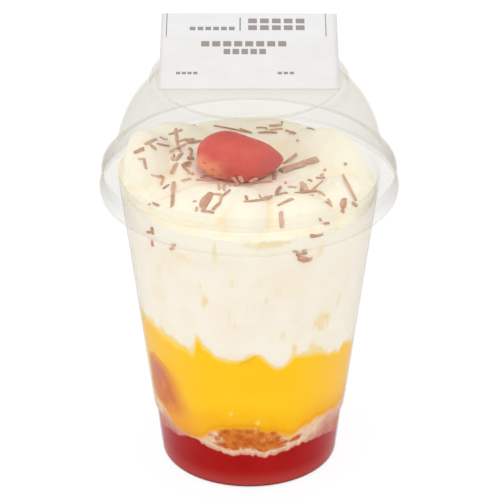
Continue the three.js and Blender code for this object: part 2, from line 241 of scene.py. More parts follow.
# ---- Top strawberry: whole and hulled, lying on its side with its tip towards +X ----
BERRY_ROWS = 110
BERRY_COLUMNS = 120
BERRY_YAW = math.radians(4)
BERRY_GIRTH = 8.7          # its radius where it is widest
BERRY_HEIGHT = 110.6       # of its middle line, towards the tip
BERRY_WIDEST = 0.47        # share of the way from stalk end to tip
BERRY_SHOULDER = 2.1       # how soon the berry thins towards its stalk end
BERRY_TAPER = 1.5          # and towards its tip
STALK_ROUND = 0.4          # how pointed the stalk end is
TIP_ROUND = 0.66           # and the tip
BERRY_HUNCH = 2.2          # how much higher the stalk half's middle line lies
HUNCH_FADE = (0.25, 0.65)  # where along the berry it comes down to the tip's
SEED_ROWS = 10
SEEDS_ROUND = 13
SEED_LENGTH = 1.3
SEED_WIDTH = 0.75
SEED_SIDES = 8
SEED_RINGS = ((1.0, -0.22), (0.65, -0.06))    # (share of its size, height above the skin)
SEED_PEAK = -0.02
DIMPLE_DEPTH = 0.3
DIMPLE_SPREAD = 0.9        # its half width, squared
BERRY_CLEARANCE = 0.1      # between the berry and the cream below it

# ---- Wall strawberry ----
SLICE_AZIMUTH = -61
SLICE_HEIGHT = 34.5
SLICE_HALF_WIDTH = 10.2
SLICE_FLARE = 0.55         # how much wider it is at the bottom
SLICE_BLUNT = 0.55         # how blunt its top is
SLICE_HALF_HEIGHT = 11.2
SLICE_DEPTH = 6.0
SLICE_LEAN = 1.0           # how far its top lies to the left of its middle
SLICE_PROUD = 0.06         # how far it stands out of the custard
SLICE_RINGS = 30
SLICE_SPOKES = 96

# ---- Chocolate shavings: (from u, v, to u, v, width in mm), where u and v are pixels of the view ----
SHAVINGS_IN_VIEW = [
    # left of the strawberry
    (169, 135, 182, 130, 0.9), (176, 129, 179, 150, 0.9), (145, 145, 156, 139, 1.1),
    (150, 145, 156, 150, 1.0), (157, 144, 169, 146, 0.5), (134, 153, 144, 149, 1.2),
    (138, 159, 144, 159, 0.5), (144, 159, 146, 169, 0.7), (169, 152, 186, 144, 0.5),
    (179, 142, 187, 139, 0.5), (187, 143, 201, 141, 1.2), (186, 141, 194, 139, 1.2),
    (189, 148, 192, 152, 1.1), (182, 153, 176, 161, 1.0), (171, 158, 174, 161, 0.7),
    (177, 163, 171, 174, 1.0), (191, 152, 189, 160, 1.0), (187, 158, 194, 159, 0.9),
    (182, 166, 191, 163, 1.4), (188, 167, 190, 164, 0.8), (183, 167, 190, 174, 1.0),
    (192, 173, 193, 175, 0.8), (201, 178, 206, 176, 0.9),
    # along the ledge of the front spoonful
    (181, 181, 191, 179, 0.6), (196, 180, 209, 181, 0.9), (208, 181, 217, 180, 0.7),
    (151, 175, 160, 177, 0.5), (160, 175, 164, 179, 0.8), (163, 179, 161, 185, 0.7),
    (163, 189, 169, 185, 0.7), (174, 182, 173, 194, 1.2), (173, 195, 172, 207, 1.3),
    (218, 184, 219, 190, 0.9), (225, 185, 224, 191, 1.2),
    (230, 190, 223, 196, 0.7), (194, 201, 195, 202, 1.0), (210, 194, 202, 208, 2.6),
    (213, 194, 222, 195, 0.8), (222, 196, 220, 203, 0.9), (220, 203, 213, 210, 0.9),
    (201, 211, 214, 213, 0.7), (153, 203, 159, 206, 0.6), (149, 204, 150, 205, 0.6),
    (235, 186, 252, 184, 0.5), (252, 184, 272, 182, 0.4),
    # front right
    (244, 202, 261, 200, 0.9), (261, 200, 272, 196, 1.0), (246, 196, 247, 200, 0.8),
    (259, 195, 261, 199, 0.7), (281, 187, 276, 196, 0.9), (277, 195, 287, 193, 0.9),
    (288, 187, 296, 188, 1.0), (302, 183, 307, 192, 1.6), (301, 192, 303, 186, 0.8),
    (301, 193, 317, 191, 1.0), (317, 191, 325, 196, 0.6), (323, 181, 313, 190, 0.8),
    (316, 178, 325, 178, 1.0), (321, 176, 323, 174, 0.8), (324, 170, 325, 171, 1.0),
    (278, 206, 293, 199, 0.9), (281, 212, 282, 228, 1.3), (343, 175, 356, 201, 0.7),
    (352, 203, 357, 206, 1.1), (344, 199, 343, 208, 1.5), (342, 209, 343, 213, 1.2),
    (328, 199, 331, 207, 0.8), (345, 163, 346, 165, 1.1), (319, 219, 321, 221, 1.0),
    (323, 224, 329, 223, 0.5),
    # right of the strawberry
    (283, 164, 297, 154, 0.8), (281, 172, 303, 165, 2.7), (301, 164, 318, 159, 1.7),
    (274, 167, 274, 180, 1.2),
    # behind it
    (214, 126, 252, 133, 0.4), (240, 129, 252, 133, 0.4), (256, 128, 267, 128, 0.4),
    (269, 126, 282, 125, 1.0), (270, 130, 283, 129, 0.4), (258, 133, 277, 133, 0.4),
    (285, 131, 289, 131, 0.9), (289, 132, 296, 134, 0.6), (310, 125, 315, 123, 0.9),
    (315, 123, 321, 119, 0.4),
    # against the wall
    (152, 227, 153, 234, 1.0), (147, 232, 152, 232, 0.7), (152, 240, 153, 246, 1.0),
    (172, 245, 176, 245, 0.7), (170, 249, 174, 248, 0.7), (310, 236, 316, 236, 1.1),
    (316, 236, 323, 234, 0.7), (293, 251, 298, 252, 0.6), (302, 251, 306, 250, 0.5),
    (296, 255, 307, 253, 0.7), (298, 258, 308, 260, 1.6), (299, 256, 304, 262, 1.0),
    (309, 261, 312, 258, 0.9),
]
# Shavings lying against the front of the strawberry, placed in the same way
SHAVINGS_ON_BERRY = [
    (239, 176, 242, 182, 1.3), (233, 177, 238, 184, 0.9), (249, 182, 257, 178, 1.3),
]
# Shavings against the wall round the back: (azimuth, height, turn, length, width)
SHAVINGS_BEHIND = [
    (128, 97.5, 40, 4.2, 1.0), (133, 95.0, -15, 3.0, 1.1), (170, 98.8, 70, 3.6, 0.9),
    (-112, 96.0, 15, 4.4, 1.2), (-107, 98.2, -40, 2.6, 0.7), (-150, 94.2, 5, 3.0, 1.0),
]
# Loose crumbs: (x, y, spread, number)
CRUMB_PATCHES = [(-26, 10, 9, 8), (20, -12, 9, 5), (-8, -14, 6, 4), (12, 26, 10, 2), (0, 0, 30, 10)]
CRUMB_REACH = 37           # no crumb starts farther out
LANDING_RADIUS = 42.5      # a shaving beyond the cream's far edge is drawn in to here
CHOCOLATE_SEED = 7
SHAVING_THICK = 0.35
SHAVING_SINK = 0.05        # how deep it is pressed into the cream
WIDE_SHAVING = 1.4         # above this width a shaving curls more, in finer steps
SHAVING_STEP = 2.5         # pixels of the view between its points


# ---- Numbers ----

def srgb(red, green, blue):
    """A colour given as on screen, 0 to 255, in linear light."""
    return tuple(
        (c / 255 / 12.92 if c / 255 <= 0.04045 else ((c / 255 + 0.055) / 1.055) ** 2.4)
        for c in (red, green, blue)
    )


def smoothstep(low, high, value):
    """0 below low, 1 above high, with a soft rise between."""
    share = np.clip((value - low) / (high - low), 0, 1)
    return share * share * (3 - 2 * share)


def hump(value, centre, width):
    """A smooth bump, 1 at its centre."""
    return np.exp(-(((value - centre) / width) ** 2))


def turn_from(azimuth, centre):
    """Degrees from a centre to an azimuth, the short way round."""
    return (azimuth - centre + 180) % 360 - 180


def lattice_noise(points, seed):
    """Smooth noise from -1 to 1 over points whose lattice cells are 1 wide."""
    cell = np.floor(points).astype(np.int64)
    local = points - cell
    blend = local * local * (3 - 2 * local)
    total = np.zeros(points.shape[:-1])
    for corner in itertools.product((0, 1), repeat=3):
        corner = np.array(corner)
        key = (cell + corner) @ np.array([73856093, 19349663, 83492791]) + seed * 6542989
        key = ((key ^ (key >> 13)) * 1274126177) & 0xFFFFFFFF
        key = ((key ^ (key >> 15)) * 2246822519) & 0xFFFFFFFF
        value = (key ^ (key >> 16)) / 0x7FFFFFFF - 1
        total += value * np.prod(np.where(corner == 1, blend, 1 - blend), axis=-1)
    return total


def fractal(points, size, seed, octaves=3):
    """Noise from about -1 to 1 whose largest lumps are size millimetres across."""
    points = np.asarray(points, float)
    total, weight = 0, 0
    for octave in range(octaves):
        share = 0.5**octave
        total = total + share * lattice_noise(points / size * 2**octave, seed + octave)
        weight += share
    return total / weight * 1.4


def flat_noise(x, y, size, seed, octaves):
    """Noise over places seen from above."""
    return fractal(np.stack([x, y, np.zeros_like(x)], axis=-1), size, seed, octaves)


def round_points(azimuth, radius, height):
    """Points at azimuths, radii and heights, as an array of x, y, z."""
    angle = np.radians(azimuth)
    return np.stack(np.broadcast_arrays(
        radius * np.sin(angle), -radius * np.cos(angle), height), axis=-1)


def round_noise(azimuth, radius, height, size, seed, octaves):
    """Noise over places round the axis."""
    return fractal(round_points(azimuth, radius, height), size, seed, octaves)


def radius_along(line, height):
    """Radius at a height on a line through (radius, height) pairs."""
    radii, heights = zip(*line, strict=True)
    return np.interp(height, heights, radii)


def normals_along(line):
    """Unit normals of a line of points in a plane, to the left of its way."""
    ways = np.gradient(line, axis=0)
    ways /= np.linalg.norm(ways, axis=1)[:, None]
    return np.stack([-ways[:, 1], ways[:, 0]], axis=1)


def arc(centre, radius, start, end, steps=6):
    """Points on an arc, from one angle to another in degrees."""
    angles = np.radians(np.linspace(start, end, steps + 1))
    return [(centre[0] + radius * math.cos(a), centre[1] + radius * math.sin(a)) for a in angles]


def bezier(start, middle, end, steps=20):
    shares = np.linspace(0, 1, steps + 1)[:, None]
    points = (
        (1 - shares) ** 2 * np.array(start)
        + 2 * shares * (1 - shares) * np.array(middle)
        + shares**2 * np.array(end)
    )
    return [tuple(p) for p in points]


# ---- Meshes ----

def add_values(mesh, **values):
    """Values at a mesh's points, which its materials read as attributes."""
    for key, numbers in values.items():
        layer = mesh.attributes.new(key, "FLOAT", "POINT")
        layer.data.foreach_set("value", np.asarray(numbers, np.float32))


def make_piece(name, points, faces, materials, slot, node=None, **extras):
    """A mesh in metres from points in millimetres, riding on the one body.

    extras may hold face_slots, a material index for each face, and values for add_values.
    """
    mesh = bpy.data.meshes.new(name)
    mesh.from_pydata((np.asarray(points) * MM).tolist(), [], [list(f) for f in faces])
    mesh.polygons.foreach_set("use_smooth", [True] * len(mesh.polygons))
    for material in materials:
        mesh.materials.append(material)
    if "face_slots" in extras:
        mesh.polygons.foreach_set("material_index", np.asarray(extras.pop("face_slots"), np.int32))
    add_values(mesh, **extras)
    mesh.update()
    piece = bpy.data.objects.new(name, mesh)
    bpy.context.collection.objects.link(piece)
    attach(piece, "root")
    if node:
        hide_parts(node)
    return piece


def ring_faces(first, second, count):
    """Quads between two rings of points given by their first index."""
    return [
        (first + i, first + (i + 1) % count, second + (i + 1) % count, second + i)
        for i in range(count)
    ]


def fan_faces(tip, ring, count, flipped=False):
    """Triangles between a point and a ring of points given by its first index."""
    edges = [(ring + i, ring + (i + 1) % count) for i in range(count)]
    return [(end, start, tip) if flipped else (start, end, tip) for start, end in edges]


def tube_faces(first, rings, count, flipped=False):
    """Quads along a stack of rings of points, given by the first one's index."""
    faces = []
    for ring in range(first, first + (rings - 1) * count, count):
        pair = (ring + count, ring) if flipped else (ring, ring + count)
        faces += ring_faces(*pair, count)
    return faces


def joined(parts):
    """Several (points, faces) in one."""
    points, faces, first = [], [], 0
    for part_points, part_faces in parts:
        points.append(part_points)
        faces += [tuple(first + i for i in face) for face in part_faces]
        first += len(part_points)
    return np.concatenate(points), faces


def lathe(outline, segments=SEGMENTS):
    """Points and faces of (radius, height) pairs turned about the axis, up the outside first.

    The outline starts and ends on the axis, or closes on itself.
    """
    angles = np.arange(segments) * 2 * math.pi / segments
    points, rows = [], []
    for radius, height in outline:
        on_axis = radius < 1e-6
        rows.append((len(points), on_axis))
        turns = [0.0] if on_axis else angles
        points += [(radius * math.cos(a), radius * math.sin(a), height) for a in turns]
    faces = []
    pairs = list(itertools.pairwise(rows))
    if not rows[0][1]:
        pairs.append((rows[-1], rows[0]))
    for (first, first_pole), (second, second_pole) in pairs:
        if first_pole and second_pole:
            continue
        if first_pole:
            faces += fan_faces(first, second, segments, flipped=True)
        elif second_pole:
            faces += fan_faces(second, first, segments)
        else:
            faces += ring_faces(first, second, segments)
    return np.array(points), faces


# ---- Material nodes ----

class Shade:
    """A material with short ways to add nodes; its patterns follow the object's own axes."""

    def __init__(self, name):
        self.material = bpy.data.materials.new(name)
        self.material.use_nodes = True
        self.tree = self.material.node_tree
        self.tree.nodes.clear()
        self.place = self.node("TexCoord").outputs["Object"]

    def node(self, kind, inputs=None, **settings):
        node = self.tree.nodes.new("ShaderNode" + kind)
        for key, value in settings.items():
            setattr(node, key, value)
        for key, value in (inputs or {}).items():
            if isinstance(value, bpy.types.NodeSocket):
                self.tree.links.new(value, node.inputs[key])
            elif isinstance(value, tuple) and len(value) == 3 and node.inputs[key].type == "RGBA":
                node.inputs[key].default_value = (*value, 1)
            else:
                node.inputs[key].default_value = value
        return node

    def attribute(self, name):
        return self.node("Attribute", attribute_name=name).outputs["Fac"]

    def noise(self, size_mm, detail=3, roughness=0.5, stretch=None):
        place = self.place
        if stretch:
            place = self.node("Mapping", {"Vector": place, "Scale": stretch}).outputs[0]
        inputs = {"Vector": place, "Scale": 1 / (size_mm * MM), "Detail": detail,
                  "Roughness": roughness}
        return self.node("TexNoise", inputs).outputs["Fac"]

    def ranged(self, value, low, high, out_low=0.0, out_high=1.0):
        inputs = {"Value": value, "From Min": low, "From Max": high,
                  "To Min": out_low, "To Max": out_high}
        return self.node("MapRange", inputs, interpolation_type="SMOOTHSTEP").outputs[0]

    def maths(self, operation, first, second=0.0):
        return self.node("Math", {0: first, 1: second}, operation=operation).outputs[0]

    def mix(self, share, first, second):
        return self.node("Mix", {0: share, 6: first, 7: second}, data_type="RGBA").outputs[2]

    def mottled(self, noise, first, second, low=0.3, high=0.7):
        """Two colours mixed by a noise."""
        return self.mix(self.ranged(noise, low, high), first, second)

    def layered(self, colour, *coats):
        """A colour with (share, colour) coats over it, a share being a socket or an attribute."""
        for share, coat in coats:
            share = self.attribute(share) if isinstance(share, str) else share
            colour = self.mix(share, colour, coat)
        return colour

    def bump(self, height, distance_mm, strength=1.0, below=None):
        inputs = {"Height": height, "Distance": distance_mm * MM, "Strength": strength}
        if below is not None:
            inputs["Normal"] = below
        return self.node("Bump", inputs).outputs[0]

    def surface(self, socket):
        output = self.node("OutputMaterial")
        self.tree.links.new(socket, output.inputs["Surface"])
        return self.material

    def finish(self, colour, roughness, gloss, normal=None, **inputs):
        named = {key.replace("_", " "): value for key, value in inputs.items()}
        if normal is not None:
            named["Normal"] = normal
        shader = self.node("BsdfPrincipled", {
            "Base Color": colour, "Roughness": roughness, "Specular IOR Level": gloss, **named})
        return self.surface(shader.outputs[0])


def clear_plastic(name, tint, cloudy, haze, edge_haze, edge_falloff, gloss, edge_tint=None):
    """Thin clear plastic: light passes almost unchanged, with a haze that thickens at the edges."""
    shade = Shade(name)
    wave = shade.bump(shade.noise(9, 2), 0.04, 1.0)
    body = shade.node("BsdfPrincipled", {
        "Base Color": srgb(*cloudy), "Roughness": 0.4, "Normal": wave, "Specular IOR Level": gloss,
    })
    facing = shade.node("LayerWeight", {"Blend": 0.5, "Normal": wave}).outputs["Facing"]
    grazing = shade.maths("POWER", facing, edge_falloff)
    let_through = shade.mix(shade.maths("POWER", facing, 4), tint, edge_tint or tint)
    through = shade.node("BsdfTransparent", {"Color": let_through})
    cloud = shade.ranged(shade.noise(26, 3), 0.3, 0.7, 0.8, 1.2)
    level = shade.maths("MULTIPLY", cloud, haze)
    share = shade.maths("MULTIPLY", grazing, edge_haze - haze)
    total = shade.maths("ADD", share, level)
    mixed = shade.node("MixShader", {0: total, 1: through.outputs[0], 2: body.outputs[0]})
    return shade.surface(mixed.outputs[0])


# ---- Cup and lid ----

CUP_WALL = [(FOOT_RADIUS, FOOT_CORNER), STEP_FOOT, STEP_TOP, WALL_TOP]


def softened(outline, reach=0.35):
    """An outline with each inner corner replaced by two close points, so that it shades crisply."""
    points = [outline[0]]
    for before, here, after in zip(outline, outline[1:], outline[2:], strict=False):
        here = np.array(here)
        for other in (before, after):
            way = np.array(other) - here
            length = np.linalg.norm(way)
            points.append(tuple(here + way / length * min(reach, length * 0.4)))
    points.append(outline[-1])
    return points


def cup_outline():
    rim, top = CUP_HIGH[0], CUP_HIGH[2]
    tube = (top - BEAD_BOTTOM) / 2
    tube_centre = (rim - tube, top - tube)
    neck = radius_along(CUP_WALL, NECK_HEIGHT)
    outside = [
        (0, PANEL_RISE), (PANEL_RADIUS - 2.4, PANEL_RISE), (PANEL_RADIUS - 1, PANEL_RISE * 0.6),
        (PANEL_RADIUS, 0.1), (PANEL_RADIUS + 0.4, 0), (FOOT_RADIUS - FOOT_CORNER, 0),
    ]
    wall = softened([
        (FOOT_RADIUS, FOOT_CORNER), STEP_FOOT, STEP_TOP, (neck, NECK_HEIGHT),
        (neck + 0.5, BEAD_BOTTOM + 0.1), (tube_centre[0], BEAD_BOTTOM),
    ])
    corner = arc((FOOT_RADIUS - FOOT_CORNER, FOOT_CORNER), FOOT_CORNER, -85, -5)
    bead = arc(tube_centre, tube, -80, 110, 12)
    lip = [(WALL_TOP[0] - CUP_SKIN + 0.6, top - 0.3), (WALL_TOP[0] - CUP_SKIN, top - 1.2)]
    inner_wall = [(r - CUP_SKIN, h) for r, h in reversed(CUP_WALL[:3])]
    floor = [
        (FOOT_RADIUS - CUP_SKIN - 0.4, 1.3), (FOOT_RADIUS - FOOT_CORNER - 0.4, CUP_SKIN),
        (PANEL_RADIUS, CUP_SKIN + 0.1), (PANEL_RADIUS - 1.5, PANEL_RISE + CUP_SKIN),
        (0, PANEL_RISE + CUP_SKIN),
    ]
    return [*outside, *corner, *wall, *bead, *lip, *inner_wall, *floor]


def lid_outline():
    lip, bottom, top = LID_HIGH[0], LID_LOW[2], LID_HIGH[2]
    recess = top - RECESS_DEPTH
    ring_inside = RING_RADIUS - RING_WIDTH
    skirt = softened([
        (lip - 0.7, bottom), (lip - 0.15, bottom + 0.1), (lip, bottom + 0.8), (lip, bottom + 1.6),
        (SKIRT_RADIUS, bottom + 3.4), (SKIRT_RADIUS - 0.1, SHOULDER_HEIGHT - 1.6),
    ], 0.2)
    shoulder = arc((SKIRT_RADIUS - 1.3, SHOULDER_HEIGHT - 1.2), 1.2, 10, 80, 5)
    trough = [(DOME_FOOT[0] + 1.9, DOME_FOOT[1] - 1.5), (DOME_FOOT[0] + 0.7, DOME_FOOT[1] - 1.0)]
    dome = bezier(DOME_FOOT, DOME_SWELL, DOME_TOP)
    neck = [(RING_RADIUS + 0.35, DOME_TOP[1] + 0.7), (RING_RADIUS, DOME_TOP[1] + 1.6)]
    ring = arc((RING_RADIUS - 0.8, top - 0.8), 0.8, 0, 90, 5)
    inner_ring = arc((ring_inside + 0.7, top - 0.7), 0.7, 90, 180, 4)
    outside = [
        *skirt, *shoulder, *trough, *dome, *neck, (RING_RADIUS, top - 1.4), *ring, *inner_ring,
        (ring_inside - 0.25, recess + 0.1), (ring_inside - 0.8, recess), (0, recess),
    ]
    return [*outside, *reversed(offset_inwards(outside, LID_SKIN))]


def offset_inwards(outline, skin):
    """The same outline moved a skin's thickness towards the inside."""
    line = np.array(outline)
    moved = line + normals_along(line) * skin
    moved[-1] = (0, line[-1, 1] - skin)
    return [tuple(p) for p in moved]


def make_shell(name, outline, plastics, part, slot, node):
    """A turned shell of clear plastics. part(radius, low, high) gives each face's plastic."""
    points, faces = lathe(outline)
    slots = []
    for face in faces:
        radius = max(np.hypot(*points[i][:2]) for i in face)
        heights = [points[i][2] for i in face]
        slots.append(part(radius, min(heights), max(heights)))
    materials = [clear_plastic(plastic, *values) for plastic, values in plastics.items()]
    shell = make_piece(name, points, faces, materials, slot, node, face_slots=slots)
    shell.visible_shadow = False
    return shell


def cup_part(radius, low, high):
    """The plastic of a face of the cup: 0 for the foot, 1 for the wall, 2 for the rim."""
    return int(low > STEP_TOP[1] - 0.1) + int(low > RIM_START)


def lid_part(radius, low, high):
    """The plastic of a face of the lid: 0 for the dome, 1 the skirt, 2 the lip, 3 the shoulder."""
    if high < LID_LOW[2] + LIP_HEIGHT:
        return 2
    if low > SHOULDER_START and radius > DOME_FOOT[0] - 0.6 and high < DOME_FOOT[1] + 0.1:
        return 3
    return int(radius > DOME_FOOT[0] + 1.2)


def make_cup():
    return make_shell("cup_shell", cup_outline(), CUP_PLASTICS, cup_part, "cup_plastic", "cup")


def make_lid():
    return make_shell("lid_shell", lid_outline(), LID_PLASTICS, lid_part, "lid_plastic", "lid")


# ---- Label ----

def label_path():
    """(y, z) of points along the label's upper face, and how many of them lie flat."""
    top = LID_HIGH[2] + LABEL_LIFT + LABEL_THICK
    bend_start = LABEL_HIGH[1] - LABEL_BEND_RADIUS
    turn = math.pi / 2 + LABEL_LEAN
    flat = [(y, top) for y in label_cuts(LABEL_LOW[1], bend_start, 1)]
    bend = []
    for share in np.linspace(0, 1, BEND_STEPS + 1)[1:]:
        angle = math.pi / 2 - turn * share
        bend.append((
            bend_start + LABEL_BEND_RADIUS * math.cos(angle),
            top - LABEL_BEND_RADIUS + LABEL_BEND_RADIUS * math.sin(angle),
        ))
    end = bend[-1]
    fall = end[1] - LABEL_LOW[2]
    flap = [
        (end[0] - math.tan(LABEL_LEAN) * fall * share, end[1] - fall * share)
        for share in np.linspace(0, 1, FLAP_STEPS + 1)[1:]
    ]
    return np.array(flat + bend + flap), len(flat)


def label_blocks():
    """(centre x, centre y, width, height) of every printed block."""
    blocks = [LABEL_DIVIDER]
    for first, last, y, height, count in LABEL_ROWS:
        pitch = (last - first) / count
        for i in range(count):
            blocks.append((first + pitch * (i + 0.5), y, pitch * BLOCK_SHARE, height))
    return blocks


def label_cuts(low, high, axis):
    """Grid lines between low and high, with one at each edge of a block, rule or panel."""
    cuts = {low, high}
    for block in label_blocks():
        cuts |= {block[axis] - block[axis + 2] / 2, block[axis] + block[axis + 2] / 2}
    if axis == 0:
        cuts |= {side + offset for side in PANEL_SIDES for offset in (0, RULE_WIDTH)}
    else:
        cuts.add(PANEL_START)
    cuts |= set(np.linspace(low, high, LABEL_GRID + 1))
    kept = []
    for cut in sorted(cuts):
        if not kept or cut - kept[-1] > 1e-3:
            kept.append(float(cut))
    return kept


def label_face_slot(x, y, on_flap):
    """0 for bare paper, 1 for the pale panel, 2 for ink."""
    in_panel = on_flap or y > PANEL_START
    if in_panel and any(side <= x <= side + RULE_WIDTH for side in PANEL_SIDES):
        return 2
    for block_x, block_y, width, height in label_blocks():
        if not on_flap and abs(x - block_x) < width / 2 and abs(y - block_y) < height / 2:
            return 2
    return 1 if in_panel and PANEL_SIDES[0] < x < PANEL_SIDES[1] else 0


def make_label():
    xs = label_cuts(LABEL_LOW[0], LABEL_HIGH[0], 0)
    path, flat_count = label_path()
    columns, rows = len(xs), len(path)
    upper, lower = [], []
    for (y, z), (ny, nz) in zip(path, normals_along(path), strict=True):
        for x in xs:
            wave = LABEL_WAVE * math.sin(x / 17 + y / 23) * smoothstep(30, 46, y)
            upper.append((x, y + ny * wave, z + nz * wave))
            lower.append((x, y + ny * (wave - LABEL_THICK), z + nz * (wave - LABEL_THICK)))
    count = len(upper)
    faces, slots = [], []
    for row in range(rows - 1):
        on_flap = row >= flat_count - 1
        for column in range(columns - 1):
            a = row * columns + column
            quad = (a, a + 1, a + columns + 1, a + columns)
            middle = ((xs[column] + xs[column + 1]) / 2, (path[row][0] + path[row + 1][0]) / 2)
            faces.append(quad)
            slots.append(label_face_slot(*middle, on_flap))
            faces.append(tuple(reversed([i + count for i in quad])))
            slots.append(0)
    edge = [*range(columns), *range(2 * columns - 1, count, columns),
            *range(count - 2, count - columns - 1, -1),
            *range(count - 2 * columns, 0, -columns)]
    for here, there in zip(edge, [*edge[1:], edge[0]], strict=True):
        faces.append((there, here, here + count, there + count))
        slots.append(0)
    materials = [
        paper("label_paper", srgb(206, 205, 202)),
        paper("label_panel", srgb(207, 207, 208)),
        paper("label_ink", srgb(132, 125, 122)),
    ]
    sheet = make_piece(
        "label_sheet", upper + lower, faces, materials, "label_paper", "label", face_slots=slots)
    sheet.visible_shadow = False
    return sheet


def paper(name, colour):
    shade = Shade(name)
    darker = tuple(c * 0.97 for c in colour)
    mottled = shade.mottled(shade.noise(14, 2), colour, darker, 0.35, 0.65)
    fibre = shade.noise(0.5, 4, 0.6, (1, 3, 1))
    return shade.finish(mottled, 0.55, 0.35, shade.bump(fibre, 0.02, 0.5))


# ---- Food layers ----

FOOD_WALL = [(r - CUP_SKIN + FOOD_REACH, h) for r, h in CUP_WALL]
AZIMUTHS = np.arange(AZIMUTH_STEPS) * 360 / AZIMUTH_STEPS


def wall_level(layer, azimuth):
    """Height at which a layer's top meets the cup wall."""
    level = np.full_like(azimuth, layer["wall"], dtype=float)
    for centre, width, rise in layer["bumps"]:
        level += rise * hump(turn_from(azimuth, centre), 0, width)
    ripple = layer["ripple"] * round_noise(azimuth, EDGE_RADIUS, 0.0, 5.0, layer["seed"], 4)
    ragged = layer["ragged"] * round_noise(azimuth, EDGE_RADIUS, 0.0, 1.4, layer["seed"] + 5, 2)
    return level + ripple + ragged


def jelly_level(azimuth):
    return wall_level(JELLY, azimuth)


def sponge_level(azimuth):
    least = jelly_level(azimuth) + SPONGE_MIN_THICK
    return np.maximum(wall_level(SPONGE, azimuth), least)


def custard_level(azimuth):
    return wall_level(CUSTARD, azimuth)


def cream_level(azimuth):
    return wall_level(CREAM, azimuth)


def soft_max(first, second, softness):
    """The greater of two heights, with a soft turn where they cross."""
    return 0.5 * (first + second + np.sqrt((first - second) ** 2 + softness**2))


def cream_top(x, y):
    """Height of the cream's upper surface, made of overlapping spoonfuls."""
    azimuth = np.degrees(np.arctan2(x, -y))
    share = np.clip(np.hypot(x, y) / CREAM_RADIUS, 0, 1)
    edge = cream_level(azimuth)
    height = CREAM_MIDDLE + (edge - CREAM_MIDDLE) * share**3 - 0.6
    for cx, cy, half_length, half_width, turn, crest, fall in DOLLOPS:
        angle = math.radians(turn)
        along = ((x - cx) * math.cos(angle) + (y - cy) * math.sin(angle)) / half_length
        across = ((y - cy) * math.cos(angle) - (x - cx) * math.sin(angle)) / half_width
        spoonful = crest - fall * np.hypot(along, across) ** DOLLOP_FALLOFF
        height = soft_max(height, spoonful, DOLLOP_BLEND)
    height = height + 0.5 * flat_noise(x, y, 9, 51, 3) + 0.14 * flat_noise(x, y, 2.4, 57, 2)
    falling = smoothstep(0.955, 1.0, share)
    height = height * (1 - falling) + edge * falling
    return np.minimum(height, berry_surface(x, y, -1) - BERRY_CLEARANCE)


def creases(x, y):
    """How deep a place lies between spoonfuls: 0 on a crest, 1 in a crease."""
    around = [
        cream_top(x + CREASE_REACH * math.cos(a), y + CREASE_REACH * math.sin(a))
        for a in np.arange(6) * math.pi / 3]
    return smoothstep(0.1, 1.3, np.mean(around, axis=0) - cream_top(x, y))


# ---- Top strawberry's shape ----

BERRY_CENTRE = np.array([*(BERRY_LOW + BERRY_HIGH)[:2] / 2, BERRY_HEIGHT])
BERRY_LENGTH = (BERRY_HIGH[0] - BERRY_LOW[0]) / math.cos(BERRY_YAW)


def berry_radius(along):
    """The berry's radius at a share of the way from its stalk end to its tip."""
    along = np.clip(along, 0, 1)
    shoulder = np.clip((BERRY_WIDEST - along) / BERRY_WIDEST, 0, 1)
    taper = np.clip((along - BERRY_WIDEST) / (1 - BERRY_WIDEST), 0, 1)
    swell = (1 - shoulder**BERRY_SHOULDER) ** STALK_ROUND * (1 - taper**BERRY_TAPER) ** TIP_ROUND
    return BERRY_GIRTH * swell


def berry_hunch(along):
    """How far the berry's middle line is raised towards its stalk end."""
    return BERRY_HUNCH * (1 - smoothstep(*HUNCH_FADE, along))


def along_berry(x, y):
    """A place seen from above, as a share of the berry's length and millimetres across it."""
    dx, dy = x - BERRY_CENTRE[0], y - BERRY_CENTRE[1]
    along = (dx * math.cos(BERRY_YAW) + dy * math.sin(BERRY_YAW)) / BERRY_LENGTH + 0.5
    return along, dy * math.cos(BERRY_YAW) - dx * math.sin(BERRY_YAW)


def berry_surface(x, y, side):
    """Height of the berry's upper (side 1) or lower (side -1) surface, far off outside it."""
    along, across = along_berry(x, y)
    radius = berry_radius(along)
    inside = (along > 0) & (along < 1) & (np.abs(across) < radius)
    rise = np.sqrt(np.clip(radius**2 - across**2, 0, None))
    height = BERRY_HEIGHT + berry_hunch(along) + side * rise
    return np.where(inside, height, -side * 1000.0)


# ---- Lines of sight ----

# Distances from the camera at which a line of sight is tried, over the whole of the cup
SIGHT_STEPS = np.linspace(CAMERA_DISTANCE - 80, CAMERA_DISTANCE + 50, 90)
SIGHT_HALVINGS = 10


def camera_axes():
    """The camera's place and its right, up and forward directions."""
    rise = CAMERA_ELEVATION
    back = np.array([0, -math.cos(rise), math.sin(rise)])
    up = np.array([0, math.sin(rise), math.cos(rise)])
    return np.array(CAMERA_TARGET) + back * CAMERA_DISTANCE, np.array([1.0, 0, 0]), up, -back


def room_above_food(points):
    """Positive in the open, negative inside the food."""
    x, y, z = np.moveaxis(points, -1, 0)
    outside_wall = np.hypot(x, y) - radius_along(FOOD_WALL, z)
    return np.maximum(z - cream_top(x, y), outside_wall)


def room_above_berry(points):
    """The same, with the top strawberry counted as food."""
    x, y, z = np.moveaxis(points, -1, 0)
    return np.minimum(room_above_food(points), z - berry_surface(x, y, 1))


def sight_ways(pixels):
    """Direction of the line of sight through each pixel (u, v) of the view, 1 forward."""
    _, right, up, forward = camera_axes()
    scale = LENS / SENSOR_WIDTH * FRAME_SIDE
    u, v = np.moveaxis(np.asarray(pixels, float), -1, 0)[..., None]
    return forward + right * (u - FRAME_SIDE / 2) / scale + up * (FRAME_SIDE / 2 - v) / scale


